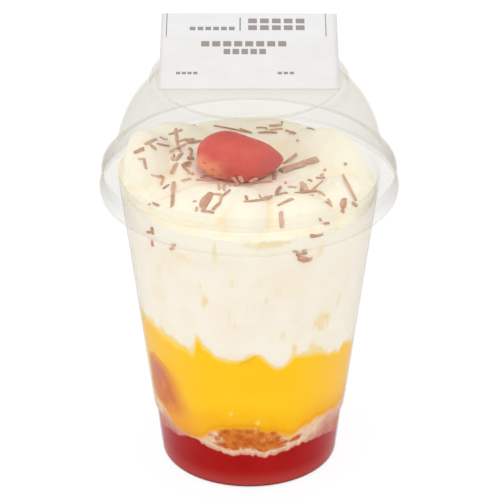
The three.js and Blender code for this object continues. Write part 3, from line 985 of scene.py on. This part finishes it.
def first_hits(ways, room):
    """How far along each line of sight the first surface lies."""
    place = camera_axes()[0]
    clear = room(place + SIGHT_STEPS[:, None] * ways[:, None, :])
    inside = clear < 0
    last = np.where(inside.any(axis=1), inside.argmax(axis=1), clear.argmin(axis=1))
    far = SIGHT_STEPS[last]
    near = SIGHT_STEPS[np.maximum(last - 1, 0)]
    for _ in range(SIGHT_HALVINGS):
        middle = (near + far) / 2
        blocked = room(place + middle[:, None] * ways) < 0
        far = np.where(blocked, middle, far)
        near = np.where(blocked, near, middle)
    return far


def facing(points, room):
    """The outward direction of the surface nearest each point."""
    moves = np.eye(3) * 0.5
    slope = room(points[:, None, :] + moves) - room(points[:, None, :] - moves)
    return slope / np.linalg.norm(slope, axis=1)[:, None]


def settled(points, room):
    """Points lowered onto the cream where they hang clear of it, as beyond its far edge."""
    x, y, z = points.T
    reach = np.maximum(np.hypot(x, y) / LANDING_RADIUS, 1)
    x, y = x / reach, y / reach
    landed = np.stack([x, y, cream_top(x, y)], axis=-1)
    return np.where((room(points) > 0.1)[:, None], landed, points)


def straight_in_view(start, end, steps, room):
    """Points from pixel to pixel of the view, straight as seen, none of them inside the food."""
    place, _, _, forward = camera_axes()
    shares = np.linspace(0, 1, steps + 1)[:, None]
    ends = sight_ways([start, end])
    corners = settled(place + first_hits(ends, room)[:, None] * ends, room)
    ways = corners[0] + (corners[1] - corners[0]) * shares - place
    depth = ways @ forward
    ways = ways / depth[:, None]
    hits = first_hits(ways, room)
    return place + ways * np.minimum(depth, hits)[:, None]


# ---- Layers ----

def slice_half_width(up):
    """The wall strawberry's half width at a share of the way up or down from its middle."""
    return SLICE_HALF_WIDTH * (1 + SLICE_FLARE * np.clip(-up, 0, None))


def slice_place(azimuth, height):
    """A point on the wall as (across, up) shares of the wall strawberry's half width and height."""
    up = (height - SLICE_HEIGHT) / SLICE_HALF_HEIGHT
    away = np.radians(turn_from(azimuth, SLICE_AZIMUTH)) * radius_along(FOOD_WALL, height)
    return (away + SLICE_LEAN * up) / slice_half_width(up), up


def slice_depth(azimuth, height):
    """How deep the wall strawberry goes in from the wall at a point on it, 0 outside it."""
    across, up = slice_place(azimuth, height)
    return (SLICE_DEPTH - 0.6) * np.sqrt(np.clip(0.8 - across**2 - up**2, 0, 1))


def side_rows(bottom, top, steps):
    """(share of the way up, height) of a layer's side rows, closest together at both edges."""
    shares = 0.5 - 0.5 * np.cos(np.pi * np.arange(steps + 1) / steps)
    return [(share, bottom + (top - bottom) * share) for share in shares]


def layer_piece(name, bottom, top, dent, inner_top, material, node, underside=None, **attrs):
    """A food layer from one wall level to another, with its top surface out to the axis.

    dent(points, azimuth, height) gives how far the side is pushed in. inner_top(x, y) gives the
    height of the top surface, or is None for a flat top that another layer covers. underside is
    an outline below the side, from the axis outwards. attrs are functions of azimuth, height and
    share, the share of the way up the side: 0 below it and 1 on top.
    """
    rows, shares = [], []

    def add(radius, height, share):
        rows.append(round_points(AZIMUTHS, radius, height))
        shares.append(share)

    if underside is None:
        floor = float(np.mean(bottom))
        for share in HIDDEN_ROWS:
            add(share * radius_along(FOOD_WALL, bottom), floor + (bottom - floor) * share, 0.0)
    else:
        floor = underside[0][1]
        for radius, height in underside[1:]:
            add(radius, height, 0.0)
    for share, height in side_rows(bottom, top, SIDE_STEPS):
        radius = radius_along(FOOD_WALL, height)
        hold = math.sin(math.pi * share) ** 0.5 if 0 < share < 1 else 0.0
        inset = dent(round_points(AZIMUTHS, radius, height), AZIMUTHS, height) * hold
        add(radius - inset, height, share)
    rim = radius_along(FOOD_WALL, top)
    if inner_top is None:
        roof = float(np.mean(top))
        for share in reversed(HIDDEN_ROWS):
            add(share * rim, roof + (top - roof) * share, 1.0)
    else:
        roof = float(inner_top(np.array([0.0]), np.array([0.0]))[0])
        for step in range(TOP_STEPS - 1, 0, -1):
            x, y, _ = round_points(AZIMUTHS, rim * step / TOP_STEPS, 0.0).T
            add(rim * step / TOP_STEPS, inner_top(x, y), 1.0)
    points = np.concatenate([[[0, 0, floor]], *rows, [[0, 0, roof]]])
    count = AZIMUTH_STEPS
    faces = [
        *fan_faces(0, 1, count, flipped=True), *tube_faces(1, len(rows), count),
        *fan_faces(len(points) - 1, 1 + (len(rows) - 1) * count, count)]
    point_azimuth = np.degrees(np.arctan2(points[:, 0], -points[:, 1]))
    point_share = np.concatenate([[0.0], np.repeat(shares, count), [1.0]])
    values = {key: rule(point_azimuth, points[:, 2], point_share) for key, rule in attrs.items()}
    return make_piece(name, points, faces, [material], node, node, **values)


def no_dent(points, azimuth, height):
    return np.zeros_like(height)


# ---- Jelly ----

def jelly_material():
    shade = Shade("strawberry_jelly")
    body = shade.mottled(shade.noise(11, 2), srgb(162, 14, 14), srgb(168, 20, 18))
    colour = shade.layered(
        # Painted light: the first coat makes the jelly lighter low down, the second paler high at the
        # cup's sides.
        body, ("low", srgb(176, 64, 60)), ("flank", srgb(172, 42, 47)),
        # Painted shade: the next coat darkens the jelly in the cup's foot corner.
        ("foot", srgb(104, 20, 24)), ("rim", srgb(190, 76, 66)))
    return shade.finish(colour, 0.3, 0.03)


def jelly_side_sheen(azimuth, height, share):
    """Painted sheen: the jelly is made paler high up at the cup's sides."""
    return smoothstep(38, 88, np.abs(azimuth)) * smoothstep(0, 15, height)


def make_jelly():
    # Painted light: the jelly is lighter towards the cup's foot.
    def low(azimuth, height, share):
        return 1 - smoothstep(0.5, 8, height)

    # Painted shade: a dark band at the very bottom, in the cup's foot corner.
    def foot(azimuth, height, share):
        return 1 - smoothstep(0.9, 1.9, height)

    def rim(azimuth, height, share):
        return smoothstep(-0.7, -0.1, height - jelly_level(azimuth)) * 0.5

    middle = CUP_SKIN / 2
    corner = arc((FOOT_RADIUS - FOOT_CORNER, FOOT_CORNER), FOOT_CORNER - middle, -80, -8, 5)
    underside = [
        (0, PANEL_RISE + middle), (PANEL_RADIUS - 2.2, PANEL_RISE + middle),
        (PANEL_RADIUS, middle), *corner,
    ]
    bottom = np.full_like(AZIMUTHS, FOOT_CORNER + 0.2)
    return layer_piece(
        "jelly_layer", bottom, jelly_level(AZIMUTHS), no_dent, None, jelly_material(), "jelly",
        underside, flank=jelly_side_sheen, low=low, foot=foot, rim=rim)


# ---- Sponge ----

def sponge_material():
    shade = Shade("sponge_crumb")
    grain = shade.noise(1.3, 4, 0.6)
    blotch = shade.noise(2.6, 4, 0.6)
    pores = shade.noise(0.9, 3, 0.6)
    crumb = shade.mottled(grain, srgb(235, 204, 172), srgb(225, 184, 152), 0.25, 0.75)
    browned = shade.mottled(blotch, srgb(212, 124, 48), srgb(190, 90, 26), 0.36, 0.62)
    edge = shade.maths("ADD", shade.attribute("crust"), shade.ranged(blotch, 0.3, 0.7, -0.18, 0.18))
    colour = shade.layered(
        crumb, ("soaked", srgb(194, 110, 102)), (shade.ranged(edge, 0.25, 0.8), browned),
        ("custardy", srgb(240, 172, 44)))
    return shade.finish(colour, 0.85, 0.1, shade.bump(pores, 0.2, 0.3))


def sponge_crust(azimuth, height, share):
    """How browned the sponge is: most in the upper part of its band, across the front."""
    low, high = jelly_level(azimuth), sponge_level(azimuth)
    up = (height - low) / (high - low)
    ragged = round_noise(azimuth, SPONGE_RADIUS, height, 4.5, 61, 3)
    front = np.exp(-(np.abs((azimuth - 0.5) / 24.5) ** 4))
    band = front * smoothstep(0.03, 0.32, up) + 0.24 * ragged
    light = smoothstep(0.2, 0.7, round_noise(azimuth, SPONGE_RADIUS, height, 2.2, 63, 2))
    specks = light * smoothstep(0.5, 1.0, up) * 0.5
    patch = hump(azimuth, 29, 4.5) * hump(up, 0.5, 0.24) + 0.2 * ragged
    flank = 0.5 * smoothstep(40, 60, np.abs(azimuth)) * (1 - smoothstep(0.3, 0.7, up))
    return np.clip(np.maximum(band - specks, patch) + flank * (0.6 + ragged), 0, 1)


def make_sponge():
    def pores(points, azimuth, height):
        return 0.2 * smoothstep(0.1, 0.8, fractal(points, 2.0, 71, 2))

    def soaked(azimuth, height, share):
        above = height - jelly_level(azimuth)
        ragged = round_noise(azimuth, SPONGE_RADIUS, height, 3.0, 75, 2)
        flank = smoothstep(34, 58, np.abs(azimuth))
        reach = 1.6 + np.where(azimuth > 0, 14.0, 9.0) * flank
        most = 0.6 + 0.35 * flank
        return (1 - smoothstep(0.0, 1.0, above / reach + (0.3 - 0.15 * flank) * ragged)) * most

    def custardy(azimuth, height, share):
        below = sponge_level(azimuth) - height
        ragged = round_noise(azimuth, SPONGE_RADIUS, height, 2.6, 77, 3)
        return 0.85 * (1 - smoothstep(0.0, 1.0, below / 2.0 + 0.5 * ragged))

    return layer_piece(
        "sponge_layer", jelly_level(AZIMUTHS), sponge_level(AZIMUTHS), pores, None,
        sponge_material(), "sponge", crust=sponge_crust, soaked=soaked, custardy=custardy)


# ---- Custard ----

def custard_material():
    shade = Shade("egg_custard")
    swirl = shade.noise(16, 2, 0.4, (1, 1, 1.8))
    body = shade.mottled(swirl, srgb(251, 195, 27), srgb(252, 198, 34), 0.35, 0.65)
    colour = shade.layered(
        # Painted sheen: the first coat pales the custard towards the cup's sides.
        body, ("flank", srgb(250, 194, 64)), ("lower", srgb(236, 160, 20)),
        ("juicy", srgb(228, 146, 66)), ("upper", srgb(250, 218, 120)),
        # Painted shade: this coat darkens the custard in its folds.
        ("crease", srgb(230, 168, 34)))
    return shade.finish(colour, 0.45, 0.03, shade.bump(shade.noise(6, 2), 0.1, 0.4))


def custard_crease(azimuth, height, share):
    """Where the custard is folded over itself below its front crest, darkened there with painted
    shade.
    """
    def flattened(azimuth, height):
        return np.stack([np.radians(azimuth) * CUSTARD_RADIUS, height], axis=-1)

    total = np.zeros_like(height)
    for start, end, strength in CUSTARD_CREASES:
        away = flattened(azimuth, height) - flattened(*start)
        way = flattened(*end) - flattened(*start)
        along = np.clip(away @ way / (way @ way), 0, 1)
        gap = np.linalg.norm(away - along[:, None] * way, axis=1)
        total = np.maximum(total, strength * (1 - smoothstep(0.1, 0.8, gap)))
    return total


def pale_specks(azimuth, height):
    """Crumbs of sponge and cream that show through the custard."""
    total = np.zeros_like(height)
    for centre, level, radius, strength in CUSTARD_SPECKS:
        away = np.radians(turn_from(azimuth, centre)) * EDGE_RADIUS
        gap = np.hypot(away, height - level) / radius
        total = np.maximum(total, strength * (1 - smoothstep(0.4, 1.3, gap)))
    return total


def make_custard():
    # Painted sheen: the custard is made paler towards the cup's sides.
    def flank(azimuth, height, share):
        return smoothstep(18, 66, np.abs(azimuth))

    def upper(azimuth, height, share):
        ragged = 0.5 * round_noise(azimuth, CUSTARD_RADIUS, height, 2.5, 111, 2)
        reach = 1.6 + 2.2 * hump(azimuth, -45, 18)
        edge = smoothstep(-1.0, 0.0, (height - custard_level(azimuth) + ragged) / reach) * 0.8
        return np.maximum(edge, pale_specks(azimuth, height))

    def lower(azimuth, height, share):
        above = height - sponge_level(azimuth)
        wide = 10 + 6 * hump(azimuth, -40, 20)
        return 0.55 * (1 - smoothstep(0, 1, above / wide)) + 0.45 * (1 - smoothstep(0, 2.5, above))

    def juicy(azimuth, height, share):
        above = height - sponge_level(azimuth)
        low_left = 0.6 * hump(azimuth, -43, 15) * (1 - smoothstep(0, 17, above))
        across, up = slice_place(azimuth, height)
        beside = 0.85 * (1 - smoothstep(0.8, 1.5, np.hypot(across, up)))
        return np.maximum(low_left, beside * smoothstep(-0.9, 0.6, across - up))

    def dent(points, azimuth, height):
        return slice_depth(azimuth, height) + 0.25 * custard_crease(azimuth, height, 0.5)

    return layer_piece(
        "custard_layer", sponge_level(AZIMUTHS), custard_level(AZIMUTHS), dent, None,
        custard_material(), "custard", flank=flank, upper=upper, lower=lower, juicy=juicy,
        crease=custard_crease)


# ---- Cream ----

def cream_material():
    shade = Shade("whipped_cream")
    body = shade.mottled(shade.noise(8, 3), srgb(243, 235, 220), srgb(241, 231, 213), 0.35, 0.65)
    colour = shade.layered(
        # Painted light: the first two coats make the cream lighter on its top and near the top of its
        # side.
        body, ("open_air", srgb(250, 243, 226)), ("rim", srgb(251, 245, 230)),
        # Painted shade: the next coat yellows the creases between spoonfuls, the one after tints the
        # cream pink round the strawberry.
        ("fold", srgb(250, 234, 200)), ("stain", srgb(240, 196, 188)),
        ("smear", srgb(242, 210, 120)), ("pocket", srgb(234, 206, 122)))
    lumps = shade.bump(shade.noise(3.0, 2), 0.2, 0.5)
    grain = shade.bump(shade.noise(0.8, 3, 0.6), 0.05, 0.5, lumps)
    return shade.finish(
        colour, 0.55, 0.2, grain, Subsurface_Weight=0.2, Subsurface_Radius=(1, 0.8, 0.5),
        Subsurface_Scale=0.002)


def cream_pocket(azimuth, height, share):
    """Places on the wall where the cream doesn't quite touch the plastic."""
    radius = radius_along(FOOD_WALL, height)
    place = round_points(azimuth, CREAM_SIDE_RADIUS, height)
    ragged = 0.5 * fractal(place, 1.4, 83, 2)
    depth = 0.12 * smoothstep(0.25, 0.8, fractal(place * (1, 1, 0.6), 9, 85, 2))
    for centre, level, half_width, half_height, strength in AIR_POCKETS:
        across = np.radians(turn_from(azimuth, centre)) * radius / half_width
        distance = np.hypot(across, (height - level) / half_height) + ragged
        hollow = (1 - smoothstep(0.2, 0.8, distance)) * smoothstep(1.5, 3.0, half_height) * 0.6
        depth = np.maximum(depth, strength * (1 - smoothstep(0.6, 1.4, distance) - hollow))
    return np.where(share < 1, depth, 0)


def berry_gap(x, y):
    """How far a place on the cream lies from the strawberry's outline, seen from above."""
    along, across = along_berry(x, y)
    beyond = np.clip(np.maximum(-along, along - 1), 0, None) * BERRY_LENGTH
    return np.hypot(beyond, np.clip(np.abs(across) - berry_radius(along), 0, None))


def berry_stain(x, y):
    """Pink painted shade on the cream round the strawberry, its shadow and reflected light."""
    return 0.75 * np.exp(-berry_gap(x, y) / 1.8) * smoothstep(-0.6, 0.5, flat_noise(x, y, 5, 121, 2))


def make_cream():
    def press(points, azimuth, height):
        return 0.35 * cream_pocket(azimuth, height, 0.5)

    def smear(azimuth, height, share):
        ragged = round_noise(azimuth, CUSTARD_RADIUS, height, 3.0, 113, 3)
        wide = hump(azimuth, -50, 18) + hump(azimuth, 34, 16)
        reach = (1.2 + 3.2 * wide) * smoothstep(-0.4, 0.9, ragged)
        return (1 - smoothstep(0.0, 1.0, height - custard_level(azimuth) - reach)) * 0.7

    # Painted light: the cream is lighter on its top and over the upper part of its side.
    def open_air(azimuth, height, share):
        return np.where(share < 1, smoothstep(-9, -1, height - cream_level(azimuth)), 1.0)

    # Painted light: lighter still near the top of the side, and a little over the whole top.
    def rim(azimuth, height, share):
        return np.where(share < 1, smoothstep(-7, -2, height - cream_level(azimuth)), 0.6)

    piece = layer_piece(
        "cream_layer", custard_level(AZIMUTHS), cream_level(AZIMUTHS), press, cream_top,
        cream_material(), "cream", pocket=cream_pocket, smear=smear, open_air=open_air, rim=rim)
    x, y, z = np.array([v.co for v in piece.data.vertices]).T / MM
    on_top = z > cream_top(x, y) - 0.05
    # Painted shade: the cream is darkened to yellow in the creases between spoonfuls, less so near the
    # strawberry.
    fold = np.where(on_top, creases(x, y) * smoothstep(3, 9, berry_gap(x, y)), 0)
    # The cream round the strawberry gets pink painted shade, standing for its shadow and reflected
    # light.
    add_values(piece.data, fold=fold, stain=np.where(on_top, berry_stain(x, y), 0))
    return piece


# ---- Strawberries ----

def berry_skin_material():
    shade = Shade("glazed_strawberry")
    red = shade.mottled(shade.noise(5, 3), srgb(222, 84, 72), srgb(216, 72, 66))
    colour = shade.layered(red, ("deep", srgb(204, 76, 74)), ("pale", srgb(244, 154, 118)))
    return shade.finish(
        colour, 0.42, 0.25, shade.bump(shade.noise(1.4, 2), 0.08, 0.4), Subsurface_Weight=0.15,
        Subsurface_Radius=(1, 0.2, 0.15), Subsurface_Scale=0.002, Coat_Weight=0.15,
        Coat_Roughness=0.25)


def seed_material():
    shade = Shade("strawberry_seed")
    colour = shade.mix(shade.noise(1.0, 2), srgb(216, 100, 62), srgb(206, 84, 54))
    return shade.finish(colour, 0.5, 0.2)


def berry_points(along, turn, lift=0.0):
    """Points on the berry at shares along it and turns round it, 0 at the front, 0.25 on top."""
    radius = berry_radius(along) + lift
    angle = 2 * np.pi * turn
    x = (along - 0.5) * BERRY_LENGTH
    y = -radius * np.cos(angle)
    z = radius * np.sin(angle) + berry_hunch(along)
    cos, sin = math.cos(BERRY_YAW), math.sin(BERRY_YAW)
    placed = np.stack(np.broadcast_arrays(x * cos - y * sin, x * sin + y * cos, z), axis=-1)
    return placed + BERRY_CENTRE


def berry_seeds():
    """(share along, turn) of each seed, in staggered rows."""
    for row in range(SEED_ROWS):
        along = (row + 0.8) / (SEED_ROWS + 0.7)
        count = max(4, round(SEEDS_ROUND * float(berry_radius(along)) / BERRY_GIRTH))
        for i in range(count):
            yield along, (i + 0.5 * (row % 2)) / count


def seed_shape(along, turn):
    """Points and faces of one flat teardrop seed lying in its dimple."""
    girth = 2 * math.pi * float(berry_radius(along))
    points = []
    for ring, lift in SEED_RINGS:
        for step in range(SEED_SIDES):
            angle = step * 2 * math.pi / SEED_SIDES
            a = along + ring * SEED_LENGTH / 2 * math.cos(angle) / BERRY_LENGTH
            t = turn + ring * SEED_WIDTH / 2 * math.sin(angle) / girth
            points.append(berry_points(a, t, lift))
    points.append(berry_points(along, turn, SEED_PEAK))
    faces = ring_faces(0, SEED_SIDES, SEED_SIDES)
    return points, faces + fan_faces(2 * SEED_SIDES, SEED_SIDES, SEED_SIDES)


def make_top_berry():
    along = (1 - np.cos(np.pi * np.arange(1, BERRY_ROWS) / BERRY_ROWS))[:, None] / 2
    turn = np.arange(BERRY_COLUMNS)[None, :] / BERRY_COLUMNS
    radius = berry_radius(along)
    dimple = np.zeros((BERRY_ROWS - 1, BERRY_COLUMNS))
    for seed_along, seed_turn in berry_seeds():
        round_by = (turn - seed_turn + 0.5) % 1 - 0.5
        near = ((along - seed_along) * BERRY_LENGTH) ** 2 + (round_by * 2 * np.pi * radius) ** 2
        dimple += DIMPLE_DEPTH * np.exp(-near / DIMPLE_SPREAD)
    skin = berry_points(along, turn)
    uneven = 0.35 * fractal(skin, 9, 91, 2) * (radius / BERRY_GIRTH)
    skin = berry_points(along, turn, uneven - np.minimum(dimple, 0.45 * radius))
    mottle = 0.12 * fractal(skin, 4, 95, 2)
    low_front = 0.5 + 0.5 * np.cos(2 * np.pi * (turn + 0.1))
    pale = 0.9 * smoothstep(0.34, 0.8, (1 - along) ** 1.6 * low_front**1.5 + mottle)
    deep = smoothstep(0.72, 1.0, along + mottle + 0.15 * low_front * along)
    deep = np.maximum(deep, 0.7 * smoothstep(0.5, 1.0, (1 - along) * (1 - low_front) + mottle))
    body = np.array([*skin.reshape(-1, 3), berry_points(0.0, 0.0), berry_points(1.0, 0.0)])
    count = BERRY_COLUMNS
    stalk, tip = len(body) - 2, len(body) - 1
    body_faces = [
        *fan_faces(stalk, 0, count), *tube_faces(0, BERRY_ROWS - 1, count, flipped=True),
        *fan_faces(tip, (BERRY_ROWS - 2) * count, count, flipped=True)]
    points, faces = joined([(body, body_faces), *(seed_shape(*seed) for seed in berry_seeds())])
    spare = [0.0] * (len(points) - len(body))
    return make_piece(
        "top_strawberry_whole", points, faces, [berry_skin_material(), seed_material()],
        "strawberry", "top_strawberry", face_slots=np.arange(len(faces)) >= len(body_faces),
        pale=[*pale.reshape(-1), 1, 0, *spare], deep=[*deep.reshape(-1), 0, 1, *spare])


def slice_material():
    shade = Shade("strawberry_flesh")
    streaks = shade.noise(2.6, 3, 0.5, (1, 1, 0.5))
    flesh = shade.mottled(streaks, srgb(206, 110, 60), srgb(218, 134, 70))
    colour = shade.layered(flesh, ("upper", srgb(202, 120, 94)), ("film", srgb(234, 158, 60)))
    return shade.finish(colour, 0.45, 0.03)


def make_wall_slice():
    rings, spokes = SLICE_RINGS, SLICE_SPOKES
    share = np.arange(1, rings + 1)[:, None] / rings
    angle = np.arange(spokes)[None, :] * 2 * np.pi / spokes
    up = share * np.sin(angle)
    height = SLICE_HEIGHT + up * SLICE_HALF_HEIGHT
    radius = radius_along(FOOD_WALL, height)
    blunt = np.sign(np.cos(angle)) * np.abs(np.cos(angle)) ** SLICE_BLUNT
    across = share * blunt * slice_half_width(up) - SLICE_LEAN * up
    azimuth = SLICE_AZIMUTH + np.degrees(across / radius)
    place = round_points(azimuth, radius, height)
    share_full = np.broadcast_to(share, height.shape)
    proud = SLICE_PROUD - 0.30 * smoothstep(0.88, 1.0, share_full)
    proud = proud - 0.45 * (1 - smoothstep(0.0, 0.5, height - sponge_level(azimuth)))
    outer = round_points(azimuth, radius + proud, height).reshape(-1, 3)
    depth = SLICE_DEPTH * np.sqrt(np.clip(1 - share_full**2, 0, 1))
    inner = round_points(azimuth, radius - 0.25 - depth, height).reshape(-1, 3)
    centre_radius = float(radius_along(FOOD_WALL, SLICE_HEIGHT))
    centres = round_points(
        np.array([SLICE_AZIMUTH] * 2, float),
        np.array([centre_radius + SLICE_PROUD, centre_radius - 0.25 - SLICE_DEPTH]), SLICE_HEIGHT)
    points = np.concatenate([outer, inner, centres])
    count = len(outer)
    faces = [
        *fan_faces(2 * count, 0, spokes), *tube_faces(0, rings, spokes, flipped=True),
        *fan_faces(2 * count + 1, count, spokes, flipped=True), *tube_faces(count, rings, spokes),
        *ring_faces(2 * count - spokes, count - spokes, spokes)]
    edge = share_full + 0.07 * fractal(place, 4, 103, 2)
    film = smoothstep(0.5, 1.0, edge).reshape(-1)
    upper = smoothstep(-0.3, 0.7, up - 0.3 * share * np.cos(angle)).reshape(-1)
    return make_piece(
        "wall_strawberry_slice", points, faces, [slice_material()], "strawberry",
        "wall_strawberry", film=[*film, *film, 0, 0], upper=[*upper, *upper, 0.2, 0.2])


# ---- Chocolate ----

def chocolate_material():
    shade = Shade("milk_chocolate")
    cloud = shade.noise(1.5, 3)
    light = shade.mottled(cloud, srgb(228, 190, 167), srgb(214, 171, 144))
    dark = shade.mottled(cloud, srgb(204, 159, 135), srgb(182, 130, 102))
    colour = shade.layered(light, ("tone", dark))
    return shade.finish(colour, 0.55, 0.2, shade.bump(shade.noise(0.6, 3), 0.06, 0.5))


def shaving(line, width, room, rng):
    """Points and faces of one strip of chocolate that lies on a surface along a line of points."""
    steps = len(line) - 1
    way = line[-1] - line[0]
    length = float(np.linalg.norm(way))
    sides = 6 if width > WIDE_SHAVING else 3
    curl = math.radians(rng.uniform(100, 150) if sides > 3 else rng.uniform(20, 70))
    arch, bow = rng.uniform(0.0, 0.05) * length, rng.uniform(-0.04, 0.04) * length
    cut_start, cut_end = rng.uniform(-0.5, 0.5), rng.uniform(-0.5, 0.5)
    twist = rng.uniform(-0.5, 0.5)
    radius = width / (2 * math.sin(curl / 2))
    angles = np.linspace(-curl / 2, curl / 2, sides)
    normals = facing(line, room)
    points = []
    for i in range(steps + 1):
        share = i / steps
        normal = normals[i]
        forward = way - normal * np.dot(way, normal)
        forward = forward / np.linalg.norm(forward)
        sideways = np.cross(normal, forward)
        swell = 4 * share * (1 - share)
        middle = line[i] + sideways * bow * swell
        ragged = rng.uniform(0.65, 0.95) if i in (0, steps) else rng.uniform(0.82, 1.02)
        tilt = twist * (share - 0.5)
        for outer in (True, False):
            reach = radius + (SHAVING_THICK if outer else 0.0)
            for angle in angles if outer else angles[::-1]:
                across = reach * math.sin(angle) * ragged
                height = reach * math.cos(angle) - radius * math.cos(curl / 2) + arch * swell
                height += across * tilt - SHAVING_SINK
                slant = (cut_start * (1 - share) + cut_end * share) * across
                points.append(middle + sideways * across + normal * height + forward * slant)
    ring = 2 * sides
    ends = [tuple(range(ring)), tuple(range(steps * ring, steps * ring + ring))[::-1]]
    return np.array(points), [*ends, *tube_faces(0, steps + 1, ring, flipped=True)]


def wall_strip(azimuth, height, turn, length):
    """Points of a strip pressed against the cup wall."""
    radius = float(radius_along(FOOD_WALL, height))
    shares = np.linspace(-0.5, 0.5, 6) * length
    swing = np.degrees(shares * math.cos(math.radians(turn)) / radius)
    return round_points(azimuth + swing, radius, height + shares * math.sin(math.radians(turn)))


def crumb_lines(rng):
    """Points and width of each loose crumb on the cream."""
    for x, y, spread, number in CRUMB_PATCHES:
        for _ in range(number):
            cx, cy = x + rng.gauss(0, spread * 0.6), y + rng.gauss(0, spread * 0.6)
            length, turn = rng.uniform(0.6, 2.0), rng.uniform(0, math.pi)
            width = rng.uniform(0.4, 0.8)
            if math.hypot(cx, cy) > CRUMB_REACH or berry_surface(np.array(cx), np.array(cy), 1) > 0:
                continue
            xs = cx + np.linspace(0, length, 4) * math.cos(turn)
            ys = cy + np.linspace(0, length, 4) * math.sin(turn)
            yield np.stack([xs, ys, cream_top(xs, ys)], axis=-1), width


def make_chocolate():
    rng = random.Random(CHOCOLATE_SEED)
    strips = []
    for views, room in ((SHAVINGS_IN_VIEW, room_above_food), (SHAVINGS_ON_BERRY, room_above_berry)):
        for u0, v0, u1, v1, width in views:
            steps = max(3, round(math.hypot(u1 - u0, v1 - v0) / SHAVING_STEP))
            line = straight_in_view((u0, v0), (u1, v1), steps, room)
            strips.append(shaving(line, width, room, rng))
    for azimuth, height, turn, length, width in SHAVINGS_BEHIND:
        line = wall_strip(azimuth, height, turn, length)
        strips.append(shaving(line, width, room_above_food, rng))
    for line, width in crumb_lines(rng):
        strips.append(shaving(line, width, room_above_food, rng))
    points, faces = joined(strips)
    tones = np.repeat([rng.random() for _ in strips], [len(strip) for strip, _ in strips])
    piece = make_piece(
        "chocolate_shavings", points, faces, [chocolate_material()], "chocolate", tone=tones)
    piece.data.polygons.foreach_set("use_smooth", [False] * len(piece.data.polygons))
    return piece


# ---- Room ----

def make_floor():
    half = FLOOR_SIZE / 2
    mesh = bpy.data.meshes.new("floor")
    mesh.from_pydata(
        [(-half, -half, 0), (half, -half, 0), (half, half, 0), (-half, half, 0)], [], [(0, 1, 2, 3)])
    shade = Shade("pale_light_table")
    cloud = shade.mix(shade.noise(900, 2), srgb(92, 92, 92), srgb(90, 90, 90))
    mesh.materials.append(shade.finish(
        cloud, 0.9, 0.0, Emission_Color=(1, 1, 1), Emission_Strength=FLOOR_GLOW))
    floor = bpy.data.objects.new("floor", mesh)
    bpy.context.collection.objects.link(floor)


def make_room():
    scene = bpy.context.scene
    scene.view_settings.view_transform = "Standard"
    scene.cycles.transparent_max_bounces = CLEAR_BOUNCES
    world = bpy.data.worlds.new("studio")
    world.use_nodes = True
    background = world.node_tree.nodes["Background"]
    background.inputs["Color"].default_value = (1, 1, 1, 1)
    background.inputs["Strength"].default_value = WORLD_LIGHT
    scene.world = world
    for name, place, side, power in SOFTBOXES:
        light = bpy.data.lights.new(name, "AREA")
        light.size = side
        light.energy = power
        lamp = bpy.data.objects.new(name, light)
        lamp.location = place
        aim = Vector(CAMERA_TARGET) * MM - lamp.location
        lamp.rotation_euler = aim.to_track_quat("-Z", "Y").to_euler()
        bpy.context.collection.objects.link(lamp)


def make_camera():
    data = bpy.data.cameras.new("camera")
    data.sensor_width = SENSOR_WIDTH
    data.lens = LENS
    camera = bpy.data.objects.new("camera", data)
    place, right, up, forward = camera_axes()
    camera.matrix_world = Matrix.LocRotScale(
        Vector(place) * MM, Matrix([right, up, -forward]).transposed().to_quaternion(), None)
    bpy.context.collection.objects.link(camera)
    bpy.context.scene.camera = camera


make_camera()
make_room()
make_floor()
make_cup()
make_jelly()
make_sponge()
make_custard()
make_wall_slice()
make_cream()
make_top_berry()
make_chocolate()
make_lid()
make_label()
